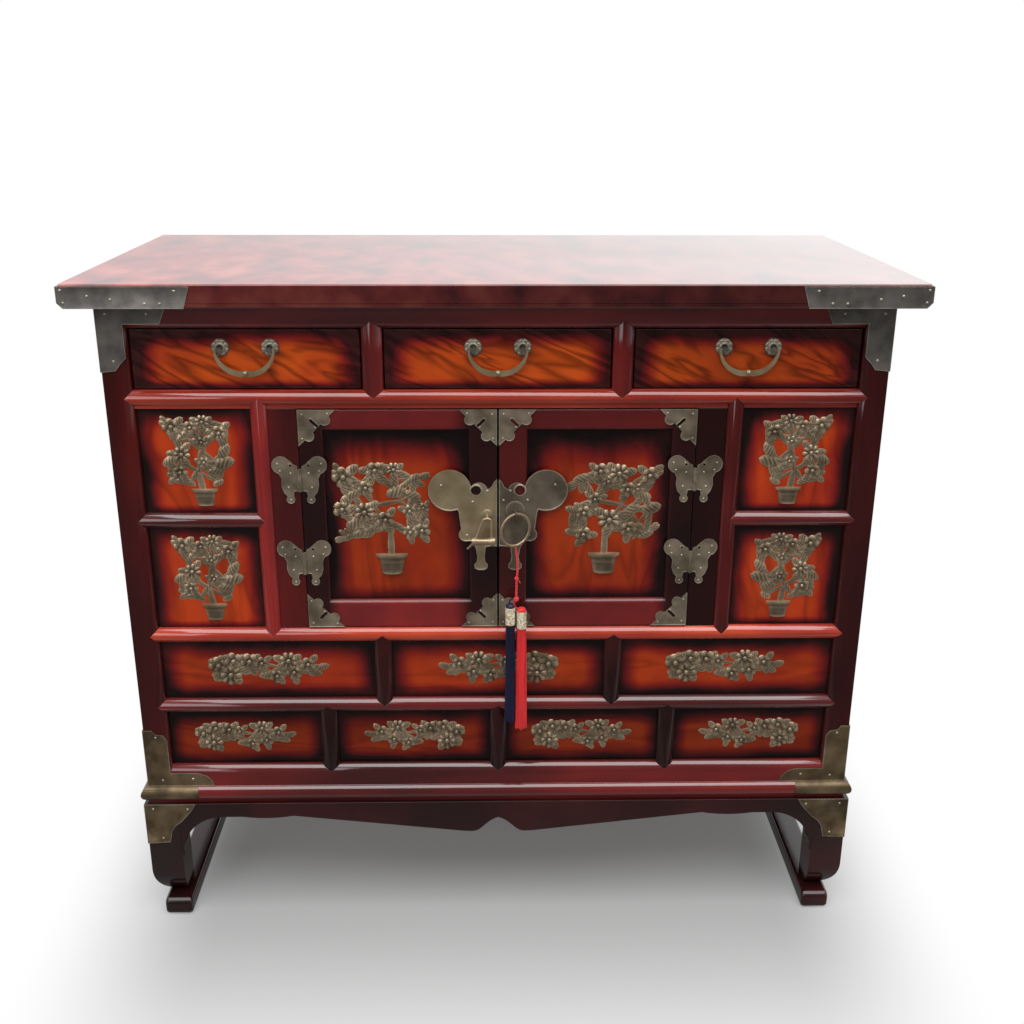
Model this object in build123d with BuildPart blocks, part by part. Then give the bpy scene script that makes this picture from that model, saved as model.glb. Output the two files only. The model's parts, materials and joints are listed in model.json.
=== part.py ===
"""Wedding cabinet: a low lacquered chest on a separate stand.

A framed case of half-round rails mitred into posts and dividers holds three drawers, a pair of
panelled doors on butterfly hinges, four side panels and seven fixed panels.  A butterfly lock
plate is split between the doors; one half carries a spool padlock, the other a ring with tassels.
Millimetres, +Z up, the front faces -Y, origin on the floor under the middle of the top.
"""
import os
from math import asin, cos, pi, radians, sin, tan

from build123d import *

os.makedirs("parts", exist_ok=True)

# ---- Case ------------------------------------------------------------------------------------
CASE_WIDTH = 981.0
CASE_DEPTH = 456.0
POST = 34.0                     # square section of the four posts
BEAD_RISE = 6.0                 # how far the half-round stands proud of the field behind it
RAIL_HEIGHT = 20.0              # width of the half-round on every rail
BOTTOM_RAIL_HEIGHT = 30.0       # flat below, half a half-round above
ROW_TWO_HEIGHT = 83.0
ROW_ONE_HEIGHT = 87.0
DOORWAY_HEIGHT = 304.0
DOORWAY_WIDTH = 509.0
HEAD_STRIP = 4.0                # flat between the doors and the drawer rail's half-round
DRAWER_HEIGHT = 78.0
TOP_RAIL_HEIGHT = 30.0
DRAWER_DIVIDER = 26.0
ROW_DIVIDER = 24.0
BAY_DIVIDER = 21.0
HINGE_STILE = 37.0
BAY_RAIL_LIFT = 144.0           # underside of the bay rail above the doorway's sill
PANEL_RECESS = 5.0
PANEL_THICK = 8.0
TONGUE = 5.0                    # depth of the panels' edges in their grooves
SIDE_RAIL_THICK = 22.0
BACK_THICK = 8.0
BACK_RECESS = 6.0
BOARD_THICK = 12.0              # floor and dust boards

# ---- Top -------------------------------------------------------------------------------------
TOP_THICK = 29.0
TOP_SIDE_OVERHANG = 34.5
TOP_FRONT_OVERHANG = 30.0
TOP_REAR_OVERHANG = 12.0
TOP_ARRIS = 2.5                 # rounding of the upper edges
TOP_UNDER_ROUND = 7.0           # rounding under the two ends

# ---- Stand -----------------------------------------------------------------------------------
STAND_HEIGHT = 180.0
STAND_PROUD = 7.0               # stand beyond the case, front and sides
NECK_HEIGHT = 5.0               # recess between stand and moulding
NECK_RECESS = 6.0
MOULDING_HEIGHT = 21.0
MOULDING_BULGE = 8.0            # half-round of the moulding in front of its neck
MOULDING_CORE = 37.0
LEG = 46.0
ANKLE_HEIGHT = 70.0             # where the leg starts to curve in
ANKLE_INSET = 19.5
RUNNER_HEIGHT = 26.0
RUNNER_WIDTH = 39.0
RUNNER_LIP = 4.0                # runner outside the leg's foot
TOE_REACH = 10.0                # nose of the runner in front of the leg
TOE_ROUND, SOLE_ROUND = 11.0, 8.0
APRON_THICK = 22.0
APRON_DEPTH = 22.0              # beside the legs
CUSP_DEPTH = 26.0               # at the point in the middle
LOBE_DEPTH = 49.0               # at the lowest point of the two middle lobes
SHOULDER_X, LOBE_X, LOBE_END_X = 24.0, 37.0, 53.5
LOBE_END_RISE = 1.0
RIPPLE_START, RIPPLE_END = 102.0, 30.0     # shallow wave, measured from the spandrel
RIPPLE_DEPTH = 2.5
SPANDREL_WIDTH = 59.5
SPANDREL_DEPTH = 85.0
SPANDREL_FLAT = 3.0
SPANDREL_BOW = (0.7, 0.27)      # where its curve passes, as shares of its width and depth
SIDE_SPANDREL_WIDTH = 48.0
SIDE_APRON_DEPTH = 40.0

# ---- Drawers ---------------------------------------------------------------------------------
DRAWER_GAP = 1.5
SLIDE_GAP = 0.3
DRAWER_FRONT_THICK = 18.0
DRAWER_RECESS = 2.0
DRAWER_SIDE_THICK = 10.0
DRAWER_SIDE_HEIGHT = 62.0
DRAWER_REAR_GAP = 44.0          # between the drawers and the back
DRAWER_BOTTOM_THICK = 5.0
DRAWER_BOTTOM_LIFT = 3.0
GUIDE_HEIGHT = 9.0
BAIL_SPREAD = 61.5              # distance between the two studs
BAIL_RAISE = 13.0               # pivot above the middle of the drawer
BAIL_DROP = 33.0
BAIL_THICK = 4.0
BAIL_MIDDLE = 7.0
BAIL_END = 3.0
BAIL_BOW = (0.72, 0.74)         # where its curve passes, as shares of its half width and drop
BEAD_RADIUS, BEAD_LENGTH = 4.2, 4.0
BAIL_STANDOFF = 8.5             # pin in front of the drawer
BAIL_PLAY = 0.4                 # between stud and bail
STUD_REACH = 11.5
STUD_RADIUS = 3.4
ROSE_RADIUS = 11.3
ROSE_RAISE = 2.0                # middle of the rose above the pin
ROSE_THICK = 1.6
PIN_RADIUS = 1.2
PIN_CLEARANCE = 0.1

# ---- Doors -----------------------------------------------------------------------------------
DOOR_THICK = 22.0
DOOR_TOP_GAP = 1.5
DOOR_HINGE_GAP = 0.8
DOOR_MEETING_GAP = 2.4
HINGE_SIDE_STILE = 31.0
MEETING_STILE = 37.0
DOOR_TOP_RAIL = 28.0
DOOR_BOTTOM_RAIL = 38.0
DOOR_PANEL_RECESS = 8.0
DOOR_PANEL_THICK = 7.0
STICKING = 6.0                  # rounding of the door frames' inner edges

# ---- Brass -----------------------------------------------------------------------------------
SHEET = 1.2                     # brass sheet of the corner pieces
PLATE = 1.5                     # lock plates, hinge leaves and ornaments
TOP_PLATE_LENGTH = 158.0
TOP_PLATE_SLANT = 8.0
TOP_PLATE_RETURN = 110.0
SEAT = 2.0                      # corner pieces reach this far into the rounding behind them
BRACKET_RETURN = 30.0           # how far corner pieces wrap round the sides
HEAD_BRACKET = [(0, 0), (87, 0), (77, -24), (32, -24), (32, -66), (24, -74), (18, -82), (0, -84)]
FOOT_BRACKET = [(0, 0), (92, 0), (89, 9), (82, 16), (70, 20), (32, 20), (32, 72), (27, 80),
                (16, 82), (12, 88), (0, 88)]
LEG_PLATE = [(0, 0), (71, 0), (64, -12), (50, -28), (40, -36), (35, -44), (31, -62), (0, -64)]
CAP_LENGTH = 80.0               # brass over the moulding's corners
DOOR_BRACKET = 48.0
BRACKET_LOBE = 7.0
BRACKET_LOBES = (0.28, 0.72)    # places of the lobes along the bracket's long side
BRACKET_SLOT = (0.42, 0.36)
HINGE_LIFT = 152.0              # middle of the hinges above the doorway's sill
HINGE_SPACING = 115.0
HINGE_STANDOFF = 3.0            # hinge pin in front of the doors
HINGE_PIN = 1.3
KNUCKLE_RADIUS = 2.7
KNUCKLE_LENGTH = 30.0
KNUCKLE_GAP = 0.3
LEAF_START = 3.0                # leaf's edge from the pin, beside the other leaf's knuckles
LEAF_BODY = [(3, -15), (8, -15.4), (9.2, -21), (9, -25), (17.2, -25), (17, -22), (21.5, -16.5),
             (24, -8), (23.4, 2), (27, 9), (20, 20), (13.4, 27), (7.5, 21), (3, 18.5)]
LEAF_DISCS = [(23.6, 20.0, 11.8), (13.1, -26.5, 5.4)]          # wing and foot
LEAF_HOLE = (11.6, 19.5, 1.8)
LOCK_LIFT = 88.0                # above the doorway's sill, at the feet of the lock plate
LOCK_BODY = [(0, 29), (0, 122), (4, 118), (7.5, 111), (13, 107.5), (25, 110), (62, 112), (56, 88),
             (50, 77), (47, 52), (42, 37), (33, 36), (28, 26), (26.2, 14), (27.2, 7), (30.4, 3),
             (29.6, -2), (25.4, -4.6), (17, -4.6), (13, -2), (12.2, 3), (15.4, 7), (16.4, 14),
             (15, 28), (8, 29)]
LOCK_DISCS = [(62.5, 106.5, 28.0), (24.5, 106.0, 11.2), (42.0, 45.5, 9.4)]   # wing, curl, low lobe
CURL_HOLE = (28.5, 106.5, 6.4)
ORNAMENT_STEM = 4.0             # width of the ornaments' stems
BAY_ORNAMENT_WIDTH, BAY_ORNAMENT_HEIGHT = 92.0, 122.0
ROW_ONE_ORNAMENT_WIDTH, ROW_ONE_ORNAMENT_HEIGHT = 166.0, 50.0
ROW_TWO_ORNAMENT_WIDTH, ROW_TWO_ORNAMENT_HEIGHT = 142.0, 50.0
DOOR_ORNAMENT_WIDTH, DOOR_ORNAMENT_HEIGHT = 129.0, 158.0
DOOR_ORNAMENT_SHIFT = 21.0      # from the middle of the door's panel toward its hinges
DOOR_ORNAMENT_LIFT = 34.0       # above the panel's lower edge

# ---- Ring, padlock and tassels: their heights are measured from the same level as the lock plate's --
RING_X = 22.5
RING_RADIUS = 21.5
RING_WIRE = 1.9
RING_TURN = 30.0                # degrees that the ring hangs turned from the door
RING_EYE_LIFT = 79.5
EYE_REACH = 16.0                # middle of the eyes in front of the lock plate
EYE_RADIUS = 3.6
EYE_LENGTH = 3.2
EYE_PLAY = 0.5                  # bore over the wire that hangs in it
STEM_RADIUS = 1.8
BOSS_RADIUS, BOSS_RISE = 11.0, 3.0
LUG_RADIUS, LUG_RISE = 6.0, 2.0
LOCK_EYE_X, LOCK_EYE_LIFT = -14.0, 73.0
SHACKLE_WIRE = 1.5
SHACKLE_TOP = 10.0              # its run through the eye
SHACKLE_LEGS = (-30.5, -8.5)    # where its legs enter the spool
SHACKLE_BEND = 3.0
SPOOL_X, SPOOL_LIFT = -19.0, 42.0
SPOOL_LENGTH = 30.0
SPOOL_RADIUS = 5.5
SPOOL_FLANGE = 4.0
SPOOL_WAIST = 3.8
KEY_ROD = [(-33.0, 39.0), (-40.0, 32.0)]
CORD_RADIUS = 1.5
CORD_GAP = 0.3
CORD_BENDS = [(26.5, 12.0), (24.0, -13.0), (24.0, -36.0)]
KNOT_RADIUS = 3.6
LOOP_RADIUS = 1.2
SLEEVE_RADIUS, SLEEVE_LENGTH = 6.8, 25.0
CAP_HEIGHT = 5.0
BLUE_X, BLUE_TOP, BLUE_END, BLUE_HEM = 16.0, -46.0, -222.0, 6.9
RED_X, RED_TOP, RED_END, RED_HEM = 31.2, -51.5, -232.0, 8.0

# ---- Levels and planes worked out from the sizes above -----------------------------------------
CASE_FOOT = STAND_HEIGHT + NECK_HEIGHT + MOULDING_HEIGHT
ROW_TWO_Z = CASE_FOOT + BOTTOM_RAIL_HEIGHT
ROW_RAIL_Z = ROW_TWO_Z + ROW_TWO_HEIGHT
ROW_ONE_Z = ROW_RAIL_Z + RAIL_HEIGHT
SILL_RAIL_Z = ROW_ONE_Z + ROW_ONE_HEIGHT
DOORWAY_Z = SILL_RAIL_Z + RAIL_HEIGHT
DOORWAY_TOP = DOORWAY_Z + DOORWAY_HEIGHT
DRAWER_RAIL_Z = DOORWAY_TOP + HEAD_STRIP
DRAWER_Z = DRAWER_RAIL_Z + RAIL_HEIGHT
TOP_RAIL_Z = DRAWER_Z + DRAWER_HEIGHT
CASE_TOP = TOP_RAIL_Z + TOP_RAIL_HEIGHT
BAY_RAIL_Z = DOORWAY_Z + BAY_RAIL_LIFT
LOCK_Z = DOORWAY_Z + LOCK_LIFT
RING_EYE_Z = LOCK_Z + RING_EYE_LIFT
LOCK_EYE_Z = LOCK_Z + LOCK_EYE_LIFT
SPOOL_Z = LOCK_Z + SPOOL_LIFT

FRONT_Y = -(CASE_DEPTH + TOP_REAR_OVERHANG - TOP_FRONT_OVERHANG) / 2
BACK_Y = FRONT_Y + CASE_DEPTH
FIELD_Y = FRONT_Y + BEAD_RISE          # rails, doors and hinge stiles behind the half-rounds
FRAME_REAR = FRONT_Y + POST
HALF_CASE = CASE_WIDTH / 2
CLEAR = HALF_CASE - POST               # half of the width between the posts
DOORWAY_HALF = DOORWAY_WIDTH / 2
BAY_IN = DOORWAY_HALF + HINGE_STILE + BAY_DIVIDER
TIP = RAIL_HEIGHT / 2                  # every mitre reaches the middle of its rail
FACE = Plane.XZ.offset(-FIELD_Y)       # the field plane, looking out of the front


def split_span(count, divider):
    """Openings of equal width between the posts, as (low x, high x) pairs."""
    width = (2 * CLEAR - (count - 1) * divider) / count
    return [(-CLEAR + i * (width + divider), -CLEAR + i * (width + divider) + width)
            for i in range(count)]


DRAWER_SPANS = split_span(3, DRAWER_DIVIDER)
ROW_ONE_SPANS = split_span(3, ROW_DIVIDER)
ROW_TWO_SPANS = split_span(4, ROW_DIVIDER)
BAY_LEVELS = [(DOORWAY_Z, BAY_RAIL_Z), (BAY_RAIL_Z + RAIL_HEIGHT, DOORWAY_TOP)]

BAY_OPENINGS = [((side * BAY_IN, side * CLEAR), level) for side in (-1, 1) for level in BAY_LEVELS]
ROW_OPENINGS = [(span, (ROW_ONE_Z, SILL_RAIL_Z)) for span in ROW_ONE_SPANS]
ROW_OPENINGS += [(span, (ROW_TWO_Z, ROW_RAIL_Z)) for span in ROW_TWO_SPANS]


# ---- Helpers -----------------------------------------------------------------------------------
def save(builder, name):
    """Label the finished piece and write it to its own file."""
    builder.part.label = name
    export_step(builder.part, f"parts/{name}.step")


def save_group(pieces, name):
    """Write pieces that touch, such as glued boards, as separate solids of one node."""
    whole = Compound([piece for group in pieces for piece in group.solids()])
    whole.label = name
    export_step(whole, f"parts/{name}.step")


def block(x, y, z, mode=Mode.ADD):
    """Box between the two values given for each axis."""
    with Locations((sum(x) / 2, sum(y) / 2, sum(z) / 2)):
        Box(abs(x[1] - x[0]), abs(y[1] - y[0]), abs(z[1] - z[0]), mode=mode)


def grown(span, amount):
    """A span lengthened at both ends."""
    return min(span) - amount, max(span) + amount


def cut_front_grooves():
    """Grooves for the tongues of all fixed front panels."""
    depth = (FIELD_Y + PANEL_RECESS, FIELD_Y + PANEL_RECESS + PANEL_THICK)
    for x, z in BAY_OPENINGS + ROW_OPENINGS:
        block(grown(x, TONGUE), depth, grown(z, TONGUE), Mode.SUBTRACT)


def cut_mitre(points):
    """Pointed notch in a half-round, for the end of the member that meets it."""
    with BuildSketch(FACE) as notch:
        Polygon(*points, align=None)
    extrude(notch.sketch, amount=BEAD_RISE, mode=Mode.SUBTRACT)


def rail_end(x, z, direction):
    """Outline of a rail's mitred end; x is the shoulder and direction the way it points."""
    return [(x, z - TIP), (x + direction * TIP, z), (x, z + TIP)]


def divider_end(x, width, z, direction):
    """Outline of a divider's mitred end; z is the edge of the rail that it meets."""
    return [(x - width / 2, z), (x, z + direction * TIP), (x + width / 2, z)]


def half_round(start, end, width, tips):
    """Half-round strip on the field plane from start to end (x, z), with mitred ends."""
    run = Vector(end[0] - start[0], 0, end[1] - start[1])
    face = Plane(origin=(start[0], FIELD_Y, start[1]), x_dir=run, z_dir=(0, -1, 0))
    across = Plane(origin=face.origin - run.normalized() * tips[0], x_dir=face.y_dir, z_dir=run)
    with BuildPart() as strip:
        with BuildSketch(face):
            Polygon((-tips[0], 0), (0, width / 2), (run.length, width / 2),
                    (run.length + tips[1], 0), (run.length, -width / 2), (0, -width / 2),
                    align=None)
        extrude(amount=BEAD_RISE)
        with BuildSketch(across):
            with BuildLine():
                Line((-width / 2, 0), (width / 2, 0))
                ThreePointArc((width / 2, 0), (0, BEAD_RISE), (-width / 2, 0))
            make_face()
        extrude(amount=run.length + sum(tips), mode=Mode.INTERSECT)
    return strip.part


ARC_RADIUS = (TIP ** 2 + BEAD_RISE ** 2) / (2 * BEAD_RISE)
ARC_HALF_ANGLE = asin(TIP / ARC_RADIUS) / 2
VIA_RUN = ARC_RADIUS * sin(ARC_HALF_ANGLE)             # middle of the quarter-round, from its crest
VIA_DROP = ARC_RADIUS * (1 - cos(ARC_HALF_ANGLE))

# ---- Top panel and its corner plates -------------------------------------------------------------
top_x = (-HALF_CASE - TOP_SIDE_OVERHANG, HALF_CASE + TOP_SIDE_OVERHANG)
top_y = (FRONT_Y - TOP_FRONT_OVERHANG, BACK_Y + TOP_REAR_OVERHANG)
top_z = (CASE_TOP, CASE_TOP + TOP_THICK)

with BuildPart() as top_panel:
    block((top_x[0] + SHEET, top_x[1] - SHEET), (top_y[0] + SHEET, top_y[1]), top_z)
    fillet(top_panel.faces().sort_by(Axis.Z)[-1].edges(), radius=TOP_ARRIS)
    fillet(top_panel.faces().sort_by(Axis.Z)[0].edges().filter_by(Axis.Y), radius=TOP_UNDER_ROUND)
save(top_panel, "top_panel")

with BuildPart() as top_corner_plates:
    upper, lower = top_z[1] - TOP_ARRIS, top_z[0] + TOP_UNDER_ROUND
    with BuildSketch(Plane.XZ.offset(-top_y[0] - SHEET)):
        Polygon((top_x[0], upper), (top_x[0] + TOP_PLATE_LENGTH, upper),
                (top_x[0] + TOP_PLATE_LENGTH - TOP_PLATE_SLANT, top_z[0]),
                (top_x[0] + TOP_UNDER_ROUND, top_z[0]), (top_x[0], lower), align=None)
    extrude(amount=SHEET)
    block((top_x[0], top_x[0] + SHEET), (top_y[0] + SHEET, top_y[0] + TOP_PLATE_RETURN),
          (lower, upper))
    mirror(about=Plane.YZ)
save(top_corner_plates, "top_corner_plates")

# ---- Posts: quarter-round along the inner edge, notched for every rail's mitred end ----------------
rail_middles = [z + TIP for z in (ROW_RAIL_Z, SILL_RAIL_Z, BAY_RAIL_Z, DRAWER_RAIL_Z)]
side_levels = [(CASE_FOOT, ROW_TWO_Z), (SILL_RAIL_Z, DOORWAY_Z), (TOP_RAIL_Z, CASE_TOP)]
side_panel_levels = [(ROW_TWO_Z, SILL_RAIL_Z), (DOORWAY_Z, TOP_RAIL_Z)]
side_panel_x = (HALF_CASE - PANEL_RECESS - PANEL_THICK, HALF_CASE - PANEL_RECESS)
side_y = (FRAME_REAR, BACK_Y - POST)
back_y = (BACK_Y - BACK_RECESS - BACK_THICK, BACK_Y - BACK_RECESS)


def cut_side_grooves():
    """Grooves for the tongues of the right-hand side panels and of the back panel."""
    for z in side_panel_levels:
        block(side_panel_x, grown(side_y, TONGUE), grown(z, TONGUE), Mode.SUBTRACT)
    block((-CLEAR - TONGUE, CLEAR + TONGUE), back_y, (CASE_FOOT, CASE_TOP), Mode.SUBTRACT)


with BuildPart() as front_posts:
    with BuildSketch(Plane.XY.offset(CASE_FOOT)):
        with BuildLine():
            Polyline((CLEAR, FIELD_Y), (HALF_CASE, FIELD_Y), (HALF_CASE, FRONT_Y),
                     (CLEAR + TIP, FRONT_Y))
            ThreePointArc((CLEAR + TIP, FRONT_Y), (CLEAR + TIP - VIA_RUN, FRONT_Y + VIA_DROP),
                          (CLEAR, FIELD_Y))
        make_face()
    extrude(amount=CASE_TOP - CASE_FOOT)
    block((CLEAR, HALF_CASE), (FIELD_Y, FRAME_REAR), (CASE_FOOT, CASE_TOP))
    for middle in rail_middles:
        cut_mitre(rail_end(CLEAR, middle, 1))
    for inner, outer, lean in ((TOP_RAIL_Z, CASE_TOP, TIP), (ROW_TWO_Z, CASE_FOOT, -TIP)):
        cut_mitre([(CLEAR, inner), (CLEAR + TIP, inner + lean), (CLEAR + TIP, outer),
                   (CLEAR, outer)])
    cut_front_grooves()
    cut_side_grooves()
    mirror(about=Plane.YZ)
save(front_posts, "front_posts")

with BuildPart() as rear_posts:
    block((CLEAR, HALF_CASE), (BACK_Y - POST, BACK_Y), (CASE_FOOT, CASE_TOP))
    cut_side_grooves()
    mirror(about=Plane.YZ)
save(rear_posts, "rear_posts")

# ---- Front rails ------------------------------------------------------------------------------------


def edge_rail(inner, outer, lean, notches):
    """Rail along the edge of the case: half a half-round toward the openings, flat beyond."""
    shoulder = CLEAR + TIP
    with BuildPart() as rail:
        with BuildSketch(Plane.YZ.offset(-shoulder)):
            with BuildLine():
                Polyline((FIELD_Y, inner), (FIELD_Y, outer), (FRONT_Y, outer),
                         (FRONT_Y, inner + lean * TIP))
                ThreePointArc((FRONT_Y, inner + lean * TIP),
                              (FRONT_Y + VIA_DROP, inner + lean * (TIP - VIA_RUN)), (FIELD_Y, inner))
            make_face()
        extrude(amount=2 * shoulder)
        with BuildSketch(FACE):
            Polygon((-CLEAR, inner), (CLEAR, inner), (shoulder, inner + lean * TIP),
                    (shoulder, outer), (-shoulder, outer), (-shoulder, inner + lean * TIP),
                    align=None)
        extrude(amount=BEAD_RISE, mode=Mode.INTERSECT)
        block((-CLEAR, CLEAR), (FIELD_Y, FRAME_REAR), (inner, outer))
        for notch in notches:
            cut_mitre(notch)
        cut_front_grooves()
    return rail


def front_rail(x, z, foot, notches, tips=(TIP, TIP)):
    """Rail with a half-round from z up, a core from foot up, and notches for the dividers."""
    strip = half_round((x[0], z + TIP), (x[1], z + TIP), RAIL_HEIGHT, tips)
    with BuildPart() as rail:
        block(x, (FIELD_Y, FRAME_REAR), (foot, z + RAIL_HEIGHT))
        add(strip)
        for notch in notches:
            cut_mitre(notch)
        cut_front_grooves()
    return rail


def dividers_between(spans, width):
    """Middle of each divider between the openings of one row."""
    return [span[1] + width / 2 for span in spans[:-1]]


drawer_divider_x = dividers_between(DRAWER_SPANS, DRAWER_DIVIDER)
row_one_x = dividers_between(ROW_ONE_SPANS, ROW_DIVIDER)
row_two_x = dividers_between(ROW_TWO_SPANS, ROW_DIVIDER)
bay_divider_x = [side * (BAY_IN - BAY_DIVIDER / 2) for side in (-1, 1)]
full_width = (-CLEAR, CLEAR)

front_top_rail = edge_rail(TOP_RAIL_Z, CASE_TOP, 1,
                           [divider_end(x, DRAWER_DIVIDER, TOP_RAIL_Z, 1) for x in drawer_divider_x])
save(front_top_rail, "front_top_rail")

drawer_rail = front_rail(
    full_width, DRAWER_RAIL_Z, DOORWAY_TOP,
    [divider_end(x, DRAWER_DIVIDER, DRAWER_Z, -1) for x in drawer_divider_x]
    + [divider_end(x, BAY_DIVIDER, DRAWER_RAIL_Z, 1) for x in bay_divider_x])
save(drawer_rail, "drawer_rail")

sill_rail = front_rail(
    full_width, SILL_RAIL_Z, SILL_RAIL_Z,
    [divider_end(x, BAY_DIVIDER, DOORWAY_Z, -1) for x in bay_divider_x]
    + [divider_end(x, ROW_DIVIDER, SILL_RAIL_Z, 1) for x in row_one_x])
save(sill_rail, "sill_rail")

row_rail = front_rail(
    full_width, ROW_RAIL_Z, ROW_RAIL_Z,
    [divider_end(x, ROW_DIVIDER, ROW_ONE_Z, -1) for x in row_one_x]
    + [divider_end(x, ROW_DIVIDER, ROW_RAIL_Z, 1) for x in row_two_x])
save(row_rail, "row_rail")

bottom_rail = edge_rail(ROW_TWO_Z, CASE_FOOT, -1,
                        [divider_end(x, ROW_DIVIDER, ROW_TWO_Z, -1) for x in row_two_x])
save(bottom_rail, "bottom_rail")

# ---- Dividers, bay rails and hinge stiles ---------------------------------------------------------------


def divider(x, width, z, top_edge, notches=()):
    """Upright between two rails; its half-round runs to the rails' half-rounds at z and top_edge."""
    strip = half_round((x, z[0]), (x, top_edge), width, (TIP, TIP))
    with BuildPart() as upright:
        block((x - width / 2, x + width / 2), (FIELD_Y, FRAME_REAR), z)
        add(strip)
        for notch in notches:
            cut_mitre(notch)
        cut_front_grooves()
    return upright.part


save_group([divider(x, DRAWER_DIVIDER, (DRAWER_Z, TOP_RAIL_Z), TOP_RAIL_Z)
            for x in drawer_divider_x], "drawer_dividers")

bay_rail_middle = BAY_RAIL_Z + TIP
save_group([divider(x, BAY_DIVIDER, (DOORWAY_Z, DOORWAY_TOP), DRAWER_RAIL_Z,
                    [[(x + side * BAY_DIVIDER / 2, bay_rail_middle - TIP), (x, bay_rail_middle),
                      (x + side * BAY_DIVIDER / 2, bay_rail_middle + TIP)]])
            for side, x in zip((-1, 1), bay_divider_x)], "bay_dividers")

save_group([divider(x, ROW_DIVIDER, (ROW_ONE_Z, SILL_RAIL_Z), SILL_RAIL_Z) for x in row_one_x]
           + [divider(x, ROW_DIVIDER, (ROW_TWO_Z, ROW_RAIL_Z), ROW_RAIL_Z) for x in row_two_x],
           "row_dividers")

save_group([front_rail((-CLEAR, -BAY_IN), BAY_RAIL_Z, BAY_RAIL_Z, [], (TIP, BAY_DIVIDER / 2)).part,
            front_rail((BAY_IN, CLEAR), BAY_RAIL_Z, BAY_RAIL_Z, [], (BAY_DIVIDER / 2, TIP)).part],
           "bay_rails")

with BuildPart() as hinge_stiles:
    block((DOORWAY_HALF, DOORWAY_HALF + HINGE_STILE), (FIELD_Y, FRAME_REAR), (DOORWAY_Z, DOORWAY_TOP))
    mirror(about=Plane.YZ)
save(hinge_stiles, "hinge_stiles")

# ---- Panels ---------------------------------------------------------------------------------------------


def panels(openings):
    """Thin panels whose tongues fill the grooves round their openings."""
    with BuildPart() as sheets:
        depth = (FIELD_Y + PANEL_RECESS, FIELD_Y + PANEL_RECESS + PANEL_THICK)
        for x, z in openings:
            block(grown(x, TONGUE), depth, grown(z, TONGUE))
    return sheets


save(panels(BAY_OPENINGS), "bay_panels")
save(panels(ROW_OPENINGS), "row_panels")

with BuildPart() as side_panels:
    for level in side_panel_levels:
        block(side_panel_x, grown(side_y, TONGUE), grown(level, TONGUE))
    mirror(about=Plane.YZ)
save(side_panels, "side_panels")

with BuildPart() as side_rails:
    for level in side_levels:
        block((HALF_CASE - SIDE_RAIL_THICK, HALF_CASE), side_y, level)
    cut_side_grooves()
    mirror(about=Plane.YZ)
save(side_rails, "side_rails")

with BuildPart() as back_panel:
    block((-CLEAR - TONGUE, CLEAR + TONGUE), back_y, (CASE_FOOT, CASE_TOP))
save(back_panel, "back_panel")

# ---- Boards inside the case -------------------------------------------------------------------------------
inside_x = side_panel_x[0]
inside_y = (FRAME_REAR, back_y[0])


def inner_board(z, edge):
    """Board from frame to back, cut out round the rear posts."""
    with BuildPart() as board:
        block((-edge, edge), (FRAME_REAR, BACK_Y - POST), z)
        block((-CLEAR, CLEAR), (BACK_Y - POST, back_y[0]), z)
    return board


save(inner_board((ROW_TWO_Z - TONGUE - BOARD_THICK, ROW_TWO_Z - TONGUE),
                 HALF_CASE - SIDE_RAIL_THICK), "floor_board")

dust_top = DRAWER_Z
dust_board = inner_board((dust_top - BOARD_THICK, dust_top), inside_x)
with BuildPart() as drawer_guides:
    for x in drawer_divider_x:
        block((x - DRAWER_DIVIDER / 2, x + DRAWER_DIVIDER / 2), inside_y,
              (dust_top, dust_top + GUIDE_HEIGHT))
    block((CLEAR, inside_x), side_y, (dust_top, dust_top + GUIDE_HEIGHT))
    block((-inside_x, -CLEAR), side_y, (dust_top, dust_top + GUIDE_HEIGHT))
save_group([dust_board.part, drawer_guides.part], "dust_board")

# ---- Stand: moulding, legs, runners and aprons ----------------------------------------------------------
stand_x = HALF_CASE + STAND_PROUD
stand_y = FRONT_Y - STAND_PROUD
neck_x, neck_y = stand_x - NECK_RECESS, stand_y + NECK_RECESS
moulding_x, moulding_y = neck_x + MOULDING_BULGE, neck_y - MOULDING_BULGE
moulding_z = (STAND_HEIGHT + NECK_HEIGHT, CASE_FOOT)
left_mitre, right_mitre = [Plane(origin=(side * neck_x, neck_y, 0), z_dir=(side, 1, 0))
                           for side in (-1, 1)]


def moulding_run(plane, flat, lean, length, skin=0.0):
    """Straight length of the moulding's half-round, or of the brass skin over it."""
    low, high = moulding_z
    middle = (low + high) / 2
    with BuildPart() as run:
        with BuildSketch(plane):
            with BuildLine():
                ThreePointArc((flat, low), (flat + lean * (MOULDING_BULGE + skin), middle),
                              (flat, high))
                if skin:
                    ThreePointArc((flat, low), (flat + lean * MOULDING_BULGE, middle), (flat, high))
                else:
                    Line((flat, low), (flat, high))
            make_face()
        extrude(amount=length)
    return run.part


def across_y(part):
    """The same piece on the other side of the case."""
    return mirror(part, about=Plane.YZ)


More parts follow.
